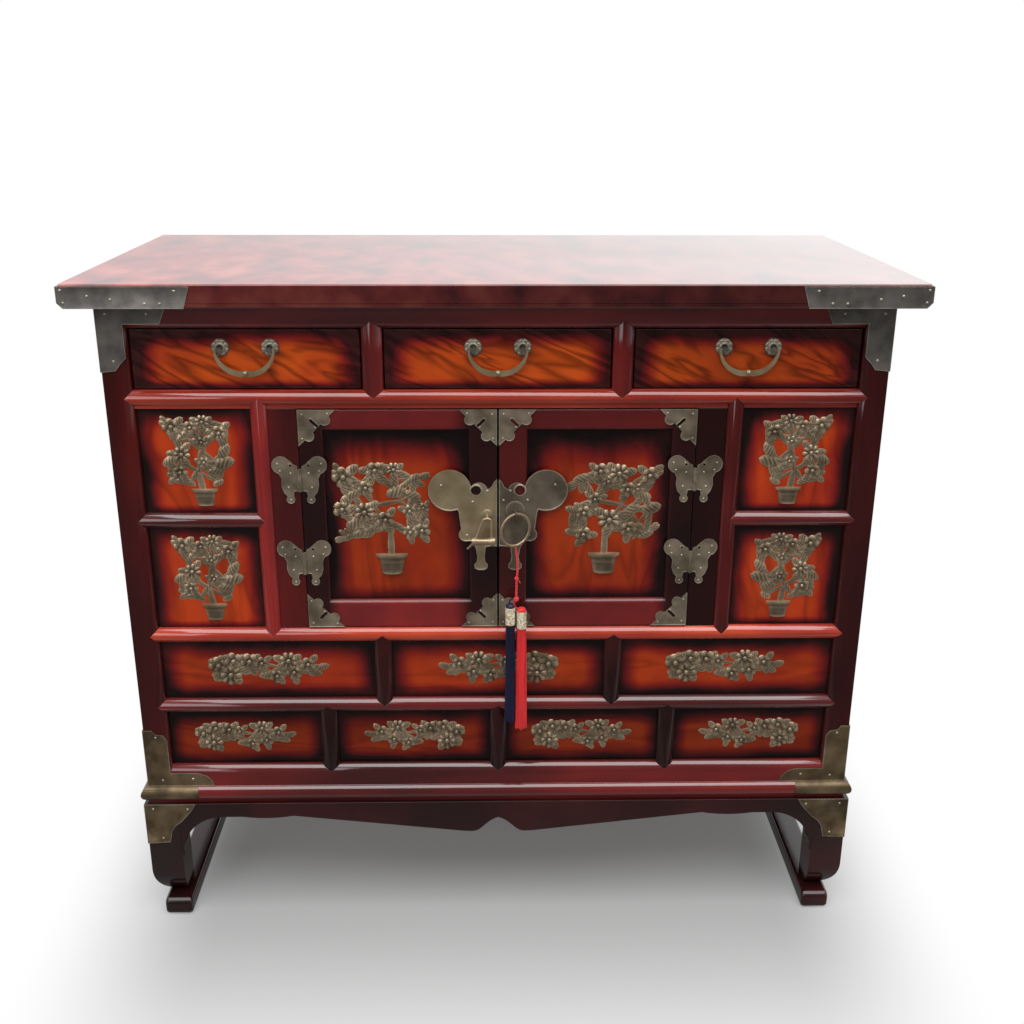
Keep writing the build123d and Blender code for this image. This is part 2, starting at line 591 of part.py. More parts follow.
front_run = moulding_run(Plane.YZ.offset(-moulding_x), neck_y, -1, 2 * moulding_x)
side_run = moulding_run(Plane.XZ.offset(-BACK_Y), neck_x, 1, BACK_Y - moulding_y)
with BuildPart() as front_moulding:
    block((-moulding_x, moulding_x), (neck_y, neck_y + MOULDING_CORE), (STAND_HEIGHT, CASE_FOOT))
    add(front_run)
    split(bisect_by=left_mitre, keep=Keep.BOTTOM)
    split(bisect_by=right_mitre, keep=Keep.BOTTOM)
with BuildPart() as side_moulding:
    block((neck_x - MOULDING_CORE, neck_x), (moulding_y, BACK_Y), (STAND_HEIGHT, CASE_FOOT))
    add(side_run)
    split(bisect_by=right_mitre, keep=Keep.TOP)
with BuildPart() as rear_moulding:
    block((MOULDING_CORE - neck_x, neck_x - MOULDING_CORE), (BACK_Y - MOULDING_CORE, BACK_Y),
          (STAND_HEIGHT, CASE_FOOT))
save_group([front_moulding.part, side_moulding.part, across_y(side_moulding.part),
            rear_moulding.part], "base_moulding")

leg_in = stand_x - LEG
foot_out = stand_x - ANKLE_INSET


def leg_outline(face, back, lean):
    """Side of a leg: its face runs straight down, then curves in to the runner."""
    foot = face + lean * ANKLE_INSET
    Polyline((foot, RUNNER_HEIGHT), (back, RUNNER_HEIGHT), (back, STAND_HEIGHT),
             (face, STAND_HEIGHT), (face, ANKLE_HEIGHT))
    TangentArc((face, ANKLE_HEIGHT), (foot, RUNNER_HEIGHT), tangent=(0, -1))


with BuildPart() as front_leg:
    with BuildSketch(Plane.XZ.offset(-stand_y - LEG)):
        with BuildLine():
            leg_outline(stand_x, leg_in, -1)
        make_face()
    extrude(amount=LEG)
    with BuildSketch(Plane.YZ.offset(leg_in)):
        with BuildLine():
            leg_outline(stand_y, stand_y + LEG, 1)
        make_face()
    extrude(amount=LEG, mode=Mode.INTERSECT)
with BuildPart() as rear_leg:
    with BuildSketch(Plane.XZ.offset(-BACK_Y)):
        with BuildLine():
            leg_outline(stand_x, leg_in, -1)
        make_face()
    extrude(amount=LEG)
right_legs = [front_leg.part, rear_leg.part]
save_group(right_legs + [across_y(leg) for leg in right_legs], "legs")

with BuildPart() as floor_runners:
    runner_x = (foot_out + RUNNER_LIP - RUNNER_WIDTH, foot_out + RUNNER_LIP)
    block(runner_x, (stand_y - TOE_REACH, BACK_Y), (0, RUNNER_HEIGHT))
    nose = floor_runners.edges().filter_by(Axis.X).group_by(Axis.Y)[0].sort_by(Axis.Z)
    fillet(nose[-1], radius=TOE_ROUND)
    sole = floor_runners.edges().filter_by(Axis.X).group_by(Axis.Z)[0].sort_by(Axis.Y)
    fillet(sole[0], radius=SOLE_ROUND)
    mirror(about=Plane.YZ)
save(floor_runners, "floor_runners")


def spandrel(start, tip):
    """Concave curve between an apron's straight edge and the tip of its spandrel."""
    run, drop = tip[0] - start[0], start[1] - tip[1]
    ThreePointArc(start, (start[0] + SPANDREL_BOW[0] * run, start[1] - SPANDREL_BOW[1] * drop), tip)


edge_z, cusp_z, lobe_z, tip_z = [STAND_HEIGHT - depth for depth in
                                 (APRON_DEPTH, CUSP_DEPTH, LOBE_DEPTH, SPANDREL_DEPTH)]
with BuildPart() as front_apron:
    with BuildSketch(Plane.XZ.offset(-stand_y - APRON_THICK)):
        with BuildLine():
            lobe_end = (LOBE_END_X, lobe_z + LOBE_END_RISE)
            start = leg_in - SPANDREL_WIDTH
            ripple = [(start - RIPPLE_START, edge_z + 1), (start - RIPPLE_END, edge_z)]
            Line((0, STAND_HEIGHT), (0, cusp_z))
            Spline((0, cusp_z), (SHOULDER_X, (cusp_z + 3 * lobe_z) / 4), (LOBE_X, lobe_z),
                   tangents=[(1, -0.3), (1, 0)])
            TangentArc((LOBE_X, lobe_z), lobe_end, tangent=(1, 0))
            Line(lobe_end, ripple[0])
            ThreePointArc(ripple[0], ((ripple[0][0] + ripple[1][0]) / 2, edge_z - RIPPLE_DEPTH),
                          ripple[1])
            Line(ripple[1], (start, edge_z))
            spandrel((start, edge_z), (leg_in - SPANDREL_FLAT, tip_z))
            Polyline((leg_in - SPANDREL_FLAT, tip_z), (leg_in, tip_z), (leg_in, STAND_HEIGHT),
                     (0, STAND_HEIGHT))
        make_face()
    extrude(amount=APRON_THICK)
    mirror(about=Plane.YZ)
save(front_apron, "front_apron")

with BuildPart() as side_apron:
    front, rear = stand_y + LEG, BACK_Y - LEG
    side_edge_z = STAND_HEIGHT - SIDE_APRON_DEPTH
    with BuildSketch(Plane.YZ.offset(stand_x - APRON_THICK)):
        with BuildLine():
            Polyline((front + SPANDREL_FLAT, tip_z), (front, tip_z), (front, STAND_HEIGHT),
                     (rear, STAND_HEIGHT), (rear, tip_z), (rear - SPANDREL_FLAT, tip_z))
            Line((front + SIDE_SPANDREL_WIDTH, side_edge_z), (rear - SIDE_SPANDREL_WIDTH, side_edge_z))
            spandrel((front + SIDE_SPANDREL_WIDTH, side_edge_z), (front + SPANDREL_FLAT, tip_z))
            spandrel((rear - SIDE_SPANDREL_WIDTH, side_edge_z), (rear - SPANDREL_FLAT, tip_z))
        make_face()
    extrude(amount=APRON_THICK)
with BuildPart() as rear_apron:
    block((-leg_in, leg_in), (BACK_Y - APRON_THICK, BACK_Y), (side_edge_z, STAND_HEIGHT))
save_group([side_apron.part, across_y(side_apron.part), rear_apron.part], "stand_rails")

# ---- Brass corner pieces --------------------------------------------------------------------------------


def corner_piece(outline, corner, seat, members):
    """Sheet over the front, its outline measured inward and up from the corner, and round the side."""
    x, y, z = corner
    top = max(up for inward, up in outline if inward == 0)
    foot = min(up for inward, up in outline if inward == 0)
    with BuildPart() as sheet:
        with BuildSketch(Plane.XZ.offset(-y - seat)):
            Polygon(*[(x - inward, z + up) for inward, up in outline], align=None)
        extrude(amount=seat + SHEET)
        block((x, x + SHEET), (y - SHEET, y + BRACKET_RETURN), (z + foot, z + top))
        for member in members:
            add(member, mode=Mode.SUBTRACT)
    return sheet.part


head_bracket = corner_piece(HEAD_BRACKET, (HALF_CASE, FRONT_Y, CASE_TOP), SEAT,
                            [front_posts.part, front_top_rail.part])
save_group([head_bracket, across_y(head_bracket)], "head_brackets")

foot_bracket = corner_piece(FOOT_BRACKET, (HALF_CASE, FRONT_Y, CASE_FOOT), SEAT,
                            [front_posts.part, bottom_rail.part])
with BuildPart() as front_cap:
    add(moulding_run(Plane.YZ.offset(moulding_x + SHEET - CAP_LENGTH), neck_y, -1, CAP_LENGTH, SHEET))
    split(bisect_by=right_mitre, keep=Keep.BOTTOM)
with BuildPart() as side_cap:
    add(moulding_run(Plane.XZ.offset(-moulding_y - BRACKET_RETURN), neck_x, 1,
                     BRACKET_RETURN + SHEET, SHEET))
    split(bisect_by=right_mitre, keep=Keep.TOP)
right_pieces = [foot_bracket, front_cap.part, side_cap.part]
save_group(right_pieces + [across_y(piece) for piece in right_pieces], "foot_brackets")

leg_plate = corner_piece(LEG_PLATE, (stand_x, stand_y, STAND_HEIGHT), 0, [])
save_group([leg_plate, across_y(leg_plate)], "leg_plates")

# ---- Hinges: the fixed leaf holds the pin, the door's leaf the outer knuckles --------------------------
pin_y = FIELD_Y - HINGE_STANDOFF
third = KNUCKLE_LENGTH / 6
hinge_levels = [DOORWAY_Z + HINGE_LIFT + side * HINGE_SPACING / 2 for side in (-1, 1)]


def rod(x, y, z, radius):
    """Upright round rod between two heights."""
    with BuildPart() as bar:
        with BuildSketch(Plane.XY.offset(z[0])):
            with Locations((x, y)):
                Circle(radius)
        extrude(amount=z[1] - z[0])
    return bar.part


def hinge_leaf(level, lean, knuckles):
    """Butterfly leaf beside the right-hand pin; lean is +1 for the fixed one, -1 for the door's."""
    with BuildPart() as leaf:
        with BuildSketch(FACE):
            Polygon(*[(DOORWAY_HALF + lean * out, level + up) for out, up in LEAF_BODY], align=None)
            for out, up, radius in LEAF_DISCS:
                with Locations((DOORWAY_HALF + lean * out, level + up)):
                    Circle(radius)
            with Locations((DOORWAY_HALF + lean * LEAF_HOLE[0], level + LEAF_HOLE[1])):
                Circle(LEAF_HOLE[2], mode=Mode.SUBTRACT)
        extrude(amount=PLATE)
        for low, high in knuckles:
            span = (level + low, level + high)
            block((DOORWAY_HALF, DOORWAY_HALF + lean * LEAF_START), (FIELD_Y - PLATE, FIELD_Y), span)
            add(rod(DOORWAY_HALF, pin_y, span, KNUCKLE_RADIUS))
        ends = (level - 3 * third, level + 3 * third)
        if lean > 0:
            add(rod(DOORWAY_HALF, pin_y, ends, HINGE_PIN))
        else:
            add(rod(DOORWAY_HALF, pin_y, ends, HINGE_PIN + PIN_CLEARANCE), mode=Mode.SUBTRACT)
    return leaf.part


fixed_leaves = [hinge_leaf(level, 1, [(KNUCKLE_GAP - third, third - KNUCKLE_GAP)])
                for level in hinge_levels]
save_group(fixed_leaves + [across_y(leaf) for leaf in fixed_leaves], "fixed_hinge_leaves")
door_leaves = [hinge_leaf(level, -1, [(-3 * third, -third), (third, 3 * third)])
               for level in hinge_levels]
save_group(door_leaves, "door_right_hinge_leaves")
save_group([across_y(leaf) for leaf in door_leaves], "door_left_hinge_leaves")

# ---- Doors: the right-hand one is made and the left-hand one mirrored from it --------------------------
door_x = (DOOR_MEETING_GAP / 2, DOORWAY_HALF - DOOR_HINGE_GAP)
door_y = (FIELD_Y, FIELD_Y + DOOR_THICK)
door_z = (DOORWAY_Z + DOOR_TOP_GAP, DOORWAY_TOP - DOOR_TOP_GAP)
panel_x = (door_x[0] + MEETING_STILE, door_x[1] - HINGE_SIDE_STILE)
panel_y = (door_y[0] + DOOR_PANEL_RECESS, door_y[0] + DOOR_PANEL_RECESS + DOOR_PANEL_THICK)
panel_z = (door_z[0] + DOOR_BOTTOM_RAIL, door_z[1] - DOOR_TOP_RAIL)

with BuildPart() as door_frame:
    block(door_x, door_y, door_z)
    block(panel_x, door_y, panel_z, Mode.SUBTRACT)
    fillet(door_frame.faces().sort_by(Axis.Y)[0].inner_wires().edges(), radius=STICKING)
    block(grown(panel_x, TONGUE), panel_y, grown(panel_z, TONGUE), Mode.SUBTRACT)
    for x in panel_x:
        split(bisect_by=Plane.YZ.offset(x), keep=Keep.BOTH)
with BuildPart() as door_panel:
    block(grown(panel_x, TONGUE), panel_y, grown(panel_z, TONGUE))


def door_bracket(x, z, inward, up):
    """Scalloped triangle of brass in one corner of a door, pierced near its long side."""
    with BuildPart() as plate:
        with BuildSketch(FACE):
            Polygon((x, z), (x + inward * DOOR_BRACKET, z), (x, z + up * DOOR_BRACKET), align=None)
            for share in BRACKET_LOBES:
                spot = (x + inward * DOOR_BRACKET * share, z + up * DOOR_BRACKET * (1 - share))
                with Locations(spot):
                    Circle(BRACKET_LOBE)
            with Locations((x + inward * DOOR_BRACKET * BRACKET_SLOT[0],
                            z + up * DOOR_BRACKET * BRACKET_SLOT[1])):
                SlotOverall(BRACKET_LOBE * 2, BRACKET_LOBE * 0.6, rotation=45 * inward * up,
                            mode=Mode.SUBTRACT)
        extrude(amount=PLATE)
    return plate.part


door_brackets = [door_bracket(x, z, inward, up) for x, inward in zip(door_x, (1, -1))
                 for z, up in zip(door_z, (1, -1))]

for side, turned in (("right", lambda part: part), ("left", across_y)):
    save_group([turned(door_frame.part)], f"door_{side}_frame")
    save_group([turned(door_panel.part)], f"door_{side}_panel")
    save_group([turned(bracket) for bracket in door_brackets], f"door_{side}_brackets")

# ---- Lock plate in two halves, with the eyes for the padlock and the ring -----------------------------
plate_y = FIELD_Y - PLATE
eye_y = plate_y - EYE_REACH
ring_run = Vector(cos(radians(RING_TURN)), sin(radians(RING_TURN)), 0)


def disc(x, y, z, radius, reach):
    """Round boss or stem that stands out of the front."""
    with BuildPart() as boss:
        with BuildSketch(Plane.XZ.offset(-y)):
            with Locations((x, z)):
                Circle(radius)
        extrude(amount=reach)
    return boss.part


def lock_plate(side, eye_x, eye_z, along, wire, boss):
    """Half of the butterfly plate, with a boss and an eye bored along the wire that hangs in it."""
    middle = Vector(eye_x, eye_y, eye_z)
    head = Plane(origin=middle - along * (EYE_LENGTH / 2), z_dir=along)
    start = door_x[0]
    with BuildPart() as plate:
        with BuildSketch(FACE):
            Polygon(*[(side * (start + x), LOCK_Z + up) for x, up in LOCK_BODY], align=None)
            for x, up, radius in LOCK_DISCS:
                with Locations((side * x, LOCK_Z + up)):
                    Circle(radius)
            with Locations((side * CURL_HOLE[0], LOCK_Z + CURL_HOLE[1])):
                Circle(CURL_HOLE[2], mode=Mode.SUBTRACT)
        extrude(amount=PLATE)
        add(disc(eye_x, plate_y, eye_z, *boss))
        add(disc(eye_x, plate_y, eye_z, STEM_RADIUS, EYE_REACH - EYE_RADIUS + EYE_PLAY))
        with BuildSketch(head):
            Circle(EYE_RADIUS)
        extrude(amount=EYE_LENGTH)
        with BuildSketch(head):
            Circle(wire + EYE_PLAY)
        extrude(amount=EYE_LENGTH, mode=Mode.SUBTRACT)
    return plate


save(lock_plate(1, RING_X, RING_EYE_Z, ring_run, RING_WIRE, (BOSS_RADIUS, BOSS_RISE)),
     "door_right_lock_plate")
save(lock_plate(-1, LOCK_EYE_X, LOCK_EYE_Z, Vector(1, 0, 0), SHACKLE_WIRE, (LUG_RADIUS, LUG_RISE)),
     "door_left_lock_plate")

with BuildPart() as ring_pull:
    ring_middle = (RING_X, eye_y, RING_EYE_Z - RING_RADIUS)
    with Locations(Plane(origin=ring_middle, z_dir=Vector(ring_run.Y, -ring_run.X, 0))):
        Torus(RING_RADIUS, RING_WIRE)
save(ring_pull, "ring_pull")

with BuildPart() as padlock:
    front_plane = Plane.XZ.offset(-eye_y)
    with BuildLine(front_plane):
        shackle = FilletPolyline((SHACKLE_LEGS[0], SPOOL_Z),
                                 (LOCK_EYE_X - SHACKLE_TOP / 2, LOCK_EYE_Z),
                                 (LOCK_EYE_X + SHACKLE_TOP / 2, LOCK_EYE_Z),
                                 (SHACKLE_LEGS[1], SPOOL_Z), radius=SHACKLE_BEND)
    with BuildSketch(Plane(origin=shackle @ 0, z_dir=shackle % 0)):
        Circle(SHACKLE_WIRE)
    sweep(path=shackle)
    with BuildLine(front_plane):
        key = Line(*[(x, LOCK_Z + up) for x, up in KEY_ROD])
    with BuildSketch(Plane(origin=key @ 0, z_dir=key % 0)):
        Circle(SHACKLE_WIRE)
    sweep(path=key)
    with BuildSketch(front_plane):
        with BuildLine():
            end, inner = SPOOL_LENGTH / 2, SPOOL_LENGTH / 2 - SPOOL_FLANGE
            Polyline((SPOOL_X - inner, SPOOL_Z + SPOOL_RADIUS), (SPOOL_X - end, SPOOL_Z + SPOOL_RADIUS),
                     (SPOOL_X - end, SPOOL_Z), (SPOOL_X + end, SPOOL_Z),
                     (SPOOL_X + end, SPOOL_Z + SPOOL_RADIUS),
                     (SPOOL_X + inner, SPOOL_Z + SPOOL_RADIUS))
            ThreePointArc((SPOOL_X + inner, SPOOL_Z + SPOOL_RADIUS), (SPOOL_X, SPOOL_Z + SPOOL_WAIST),
                          (SPOOL_X - inner, SPOOL_Z + SPOOL_RADIUS))
        make_face()
    revolve(axis=Axis((SPOOL_X, eye_y, SPOOL_Z), (1, 0, 0)))
save(padlock, "padlock")

# ---- Tassels: a cord from the ring to a knot, and two tassels looped to the knot -----------------------
cord_start = (RING_X, RING_EYE_Z - 2 * RING_RADIUS - RING_WIRE - CORD_GAP)
cord_bends = [(x, LOCK_Z + up) for x, up in CORD_BENDS]
cord_points = [Vector(x, eye_y, z) for x, z in [cord_start] + cord_bends]
cord_runs = [after - before for before, after in zip(cord_points, cord_points[1:])]
cord_radii = [0.45 * min(before.length, after.length) / tan(radians(before.get_angle(after) / 2))
              for before, after in zip(cord_runs, cord_runs[1:])]
print("cord radii", [round(radius, 1) for radius in cord_radii])

with BuildPart() as tassel_cord:
    with BuildLine():
        cord = FilletPolyline(*cord_points, radius=cord_radii)
    with BuildSketch(Plane(origin=cord @ 0, z_dir=cord % 0)):
        Circle(CORD_RADIUS)
    sweep(path=cord)
save(tassel_cord, "tassel_cord")
print("cord length", round(cord.length, 1), "volume ratio",
      round(tassel_cord.part.volume / (pi * CORD_RADIUS ** 2 * cord.length), 3))

knot_x, knot_top = cord_bends[-1]


def tassel(x, top, end, hem, knotted):
    """Cap, sleeve and skirt turned about one axis, with the loop that ties them to the knot."""
    sleeve_top = top - CAP_HEIGHT
    sleeve_end = sleeve_top - SLEEVE_LENGTH
    loop_end = (knot_x + (LOOP_RADIUS if knotted else -KNOT_RADIUS - LOOP_RADIUS), knot_top - KNOT_RADIUS)
    with BuildPart() as bundle:
        with BuildSketch(Plane.XZ.offset(-eye_y)):
            with BuildLine():
                Polyline((x, top), (x + LOOP_RADIUS, top))
                ThreePointArc((x + LOOP_RADIUS, top),
                              (x + 0.8 * SLEEVE_RADIUS, top - 0.3 * CAP_HEIGHT),
                              (x + SLEEVE_RADIUS, sleeve_top))
                Polyline((x + SLEEVE_RADIUS, sleeve_top), (x + SLEEVE_RADIUS, sleeve_end),
                         (x + 0.9 * SLEEVE_RADIUS, sleeve_end - 2), (x + hem, end), (x, end), (x, top))
            make_face()
        revolve(axis=Axis((x, eye_y, 0), (0, 0, 1)))
        with BuildLine(Plane.XZ.offset(-eye_y)):
            loop = ThreePointArc((x, top - LOOP_RADIUS),
                                 ((x + loop_end[0]) / 2 + LOOP_RADIUS / 2, (top + loop_end[1]) / 2 + 1),
                                 loop_end)
        with BuildSketch(Plane(origin=loop @ 0, z_dir=loop % 0)):
            Circle(LOOP_RADIUS)
        sweep(path=loop)
        if knotted:
            with Locations((knot_x, eye_y, knot_top - KNOT_RADIUS)):
                Sphere(KNOT_RADIUS)
            block((knot_x - KNOT_RADIUS, knot_x + KNOT_RADIUS),
                  (eye_y - KNOT_RADIUS, eye_y + KNOT_RADIUS), (knot_top - 0.5, knot_top + 1),
                  Mode.SUBTRACT)
            add(rod(knot_x, eye_y, (knot_top - 1, knot_top), CORD_RADIUS))
    return bundle


save(tassel(BLUE_X, LOCK_Z + BLUE_TOP, LOCK_Z + BLUE_END, BLUE_HEM, False), "tassel_blue")
save(tassel(RED_X, LOCK_Z + RED_TOP, LOCK_Z + RED_END, RED_HEM, True), "tassel_red")

# ---- Drawers with their roses and bails ---------------------------------------------------------------
front_y = (FIELD_Y + DRAWER_RECESS, FIELD_Y + DRAWER_RECESS + DRAWER_FRONT_THICK)
box_y = (front_y[1], back_y[0] - DRAWER_REAR_GAP)
box_z = (DRAWER_Z + SLIDE_GAP, DRAWER_Z + SLIDE_GAP + DRAWER_SIDE_HEIGHT)
bottom_z = (box_z[0] + DRAWER_BOTTOM_LIFT, box_z[0] + DRAWER_BOTTOM_LIFT + DRAWER_BOTTOM_THICK)
pin_z = DRAWER_Z + DRAWER_HEIGHT / 2 + BAIL_RAISE
bail_y = front_y[0] - BAIL_STANDOFF
bail_end = BAIL_SPREAD / 2 + STUD_RADIUS + BAIL_PLAY        # inner face of the bail's two ends


def board(x, y, z):
    """One flat board."""
    with BuildPart() as piece:
        block(x, y, z)
    return piece.part


def rose(x):
    """Round rose with the stud that a bail turns in."""
    with BuildPart() as piece:
        add(disc(x, front_y[0], pin_z + ROSE_RAISE, ROSE_RADIUS, ROSE_THICK))
        add(disc(x, front_y[0], pin_z, STUD_RADIUS, STUD_REACH))
        with Locations(Location((x, bail_y, pin_z), (0, 90, 0))):
            Cylinder(PIN_RADIUS + PIN_CLEARANCE, 4 * STUD_RADIUS, mode=Mode.SUBTRACT)
    return piece.part


def bail_edge(half, drop):
    """Half of one edge of the bail, from beside the stud to its lowest point."""
    ThreePointArc((half, -BAIL_END), (BAIL_BOW[0] * half, -BAIL_BOW[1] * drop), (0, -drop))


with BuildPart() as bail:
    with BuildSketch(Plane.XZ.offset(-bail_y - BAIL_THICK / 2)):
        with BuildLine():
            outside = bail_end + BAIL_END
            bail_edge(outside, BAIL_DROP)
            bail_edge(bail_end, BAIL_DROP - BAIL_MIDDLE)
            Line((0, -BAIL_DROP), (0, BAIL_MIDDLE - BAIL_DROP))
            Polyline((outside, -BAIL_END), (outside, BAIL_END / 2), (bail_end, BAIL_END / 2),
                     (bail_end, -BAIL_END))
        make_face()
    extrude(amount=BAIL_THICK)
    with Locations(Location(((BAIL_SPREAD + BAIL_END) / 2, bail_y, 0), (0, 90, 0))):
        Cylinder(PIN_RADIUS, 2 * STUD_RADIUS + BAIL_END)
    mirror(about=Plane.YZ)
    with Locations(Location((0, bail_y, (BAIL_MIDDLE / 2) - BAIL_DROP), (0, 90, 0))):
        Cylinder(BEAD_RADIUS, BEAD_LENGTH)

for name, span in zip(("left", "middle", "right"), DRAWER_SPANS):
    middle = sum(span) / 2
    width = (span[0] + DRAWER_GAP, span[1] - DRAWER_GAP)
    inner = (width[0] + DRAWER_SIDE_THICK, width[1] - DRAWER_SIDE_THICK)
    back = (box_y[1] - DRAWER_SIDE_THICK, box_y[1])

    with BuildPart() as drawer_front:
        block(width, front_y, (DRAWER_Z + DRAWER_GAP, TOP_RAIL_Z - DRAWER_GAP))
    save(drawer_front, f"drawer_{name}_front")

    save_group([board((width[0], inner[0]), box_y, box_z), board((inner[1], width[1]), box_y, box_z),
                board(inner, back, box_z), board(inner, (box_y[0], back[0]), bottom_z)],
               f"drawer_{name}_box")

    save_group([rose(middle + side * BAIL_SPREAD / 2) for side in (-1, 1)], f"drawer_{name}_roses")
    save_group([bail.part.moved(Location((middle, 0, pin_z)))], f"drawer_{name}_bail")

# ---- Ornaments: pierced sheet, a flowering branch in a pot or a spray of flowers --------------------------
# Outlines of the motifs, with their own middle at (0, 0) and a half-length of 1
FLOWER = [(cos(radians(angle)), sin(radians(angle))) for angle in range(0, 360, 36)]
LEAF = [(-1, 0), (-0.4, 0.42), (0.3, 0.4), (1, 0), (0.3, -0.4), (-0.4, -0.42)]
BIRD = [(-1.3, 0.3), (-0.5, 0.35), (-0.35, 0.95), (0.3, 0.45), (0.8, 0.4), (1.15, 0.1), (0.75, -0.05),
        (0.2, -0.45), (-0.5, -0.25), (-1.3, 0)]
POT = [(0.43, 0.2), (0.43, 0.165), (0.455, 0.155), (0.48, 0), (0.68, 0), (0.705, 0.155),
       (0.74, 0.165), (0.74, 0.2), (0.64, 0.2), (0.62, 0.4), (0.54, 0.4), (0.53, 0.2)]

# Branches: joints of the stem, then motifs at (across, up) with their size and turn in degrees;
# places are shares of the ornament's width and height, sizes shares of its width
DOOR_STEM = [(0.58, 0.4), (0.42, 0.62), (0.7, 0.66), (0.3, 0.82), (0.6, 0.84), (0.84, 0.5),
             (0.24, 0.46)]
LEFT_DOOR_BRANCH = [
    (FLOWER, 0.12, 0.865, 0.093, 0), (LEAF, 0.06, 0.945, 0.05, 120), (FLOWER, 0.44, 0.925, 0.078, 20),
    (FLOWER, 0.627, 0.93, 0.06, 0), (BIRD, 0.82, 0.85, 0.13, 205), (FLOWER, 0.34, 0.77, 0.066, 10),
    (LEAF, 0.22, 0.72, 0.075, 200), (LEAF, 0.65, 0.74, 0.09, 20), (LEAF, 0.81, 0.71, 0.075, -20),
    (FLOWER, 0.093, 0.585, 0.078, 30), (FLOWER, 0.32, 0.56, 0.085, 0), (FLOWER, 0.53, 0.49, 0.078, 15),
    (FLOWER, 0.78, 0.567, 0.06, 0), (FLOWER, 0.92, 0.595, 0.05, 10), (LEAF, 0.22, 0.47, 0.085, 210),
    (LEAF, 0.43, 0.42, 0.065, -10), (FLOWER, 0.78, 0.38, 0.06, 0), (FLOWER, 0.9, 0.395, 0.07, 20),
    (BIRD, 0.16, 0.35, 0.115, 30), (LEAF, 0.34, 0.37, 0.065, 190)]
RIGHT_DOOR_BRANCH = [
    (BIRD, 0.82, 0.85, 0.15, 155), (FLOWER, 0.64, 0.91, 0.07, 0), (FLOWER, 0.56, 0.82, 0.055, 0),
    (FLOWER, 0.45, 0.89, 0.085, 10), (FLOWER, 0.14, 0.87, 0.075, 0), (LEAF, 0.06, 0.93, 0.055, 150),
    (FLOWER, 0.36, 0.75, 0.068, 20), (FLOWER, 0.26, 0.755, 0.048, 0), (LEAF, 0.2, 0.7, 0.07, 200),
    (FLOWER, 0.69, 0.665, 0.062, 0), (FLOWER, 0.8, 0.545, 0.068, 10), (LEAF, 0.92, 0.575, 0.06, 20),
    (FLOWER, 0.54, 0.485, 0.095, 0), (LEAF, 0.32, 0.575, 0.085, 140), (LEAF, 0.12, 0.59, 0.09, 165),
    (FLOWER, 0.34, 0.4, 0.072, 0), (BIRD, 0.16, 0.36, 0.125, 330), (FLOWER, 0.8, 0.355, 0.07, 20),
    (LEAF, 0.92, 0.38, 0.06, 10), (LEAF, 0.46, 0.41, 0.055, 180)]
BAY_STEM = [(0.5, 0.38), (0.55, 0.62), (0.4, 0.74), (0.72, 0.5), (0.26, 0.5)]
BAY_BRANCH = [
    (FLOWER, 0.17, 0.87, 0.105, 0), (LEAF, 0.08, 0.945, 0.06, 130), (FLOWER, 0.43, 0.86, 0.08, 20),
    (FLOWER, 0.6, 0.93, 0.085, 0), (FLOWER, 0.82, 0.8, 0.095, 10), (LEAF, 0.93, 0.88, 0.06, 50),
    (FLOWER, 0.57, 0.7, 0.065, 0), (LEAF, 0.26, 0.72, 0.085, 240), (FLOWER, 0.28, 0.57, 0.1, 15),
    (LEAF, 0.1, 0.5, 0.1, 215), (LEAF, 0.87, 0.6, 0.11, 60), (LEAF, 0.86, 0.48, 0.13, 15),
    (LEAF, 0.73, 0.39, 0.1, 0), (FLOWER, 0.58, 0.48, 0.065, 0), (FLOWER, 0.24, 0.37, 0.09, 30),
    (LEAF, 0.13, 0.29, 0.07, 225), (LEAF, 0.37, 0.26, 0.07, 150), (LEAF, 0.76, 0.26, 0.07, 30)]
SPRAY_STEM = [(0.16, 0.45), (0.34, 0.55), (0.5, 0.45), (0.66, 0.55), (0.84, 0.5)]
SPRAY = [
    (FLOWER, 0.08, 0.62, 0.072, 0), (LEAF, 0.06, 0.27, 0.06, 210), (FLOWER, 0.17, 0.32, 0.07, 20),
    (FLOWER, 0.22, 0.76, 0.058, 0), (LEAF, 0.31, 0.42, 0.06, -30), (FLOWER, 0.35, 0.79, 0.056, 10),
    (FLOWER, 0.41, 0.38, 0.05, 0), (FLOWER, 0.5, 0.74, 0.06, 0), (LEAF, 0.53, 0.3, 0.065, 10),
    (FLOWER, 0.62, 0.48, 0.048, 20), (FLOWER, 0.68, 0.82, 0.048, 0), (LEAF, 0.73, 0.33, 0.06, -20),
    (FLOWER, 0.8, 0.62, 0.055, 0), (LEAF, 0.88, 0.24, 0.06, -30), (FLOWER, 0.92, 0.52, 0.05, 10),
    (LEAF, 0.94, 0.8, 0.05, 50)]


def strip(start, end):
    """Straight piece of stem between two places of a sketch."""
    across = (end - start).normalized().rotate(Axis.Z, 90) * (ORNAMENT_STEM / 2)
    Polygon(start - across, start + across, end + across, end - across, align=None)


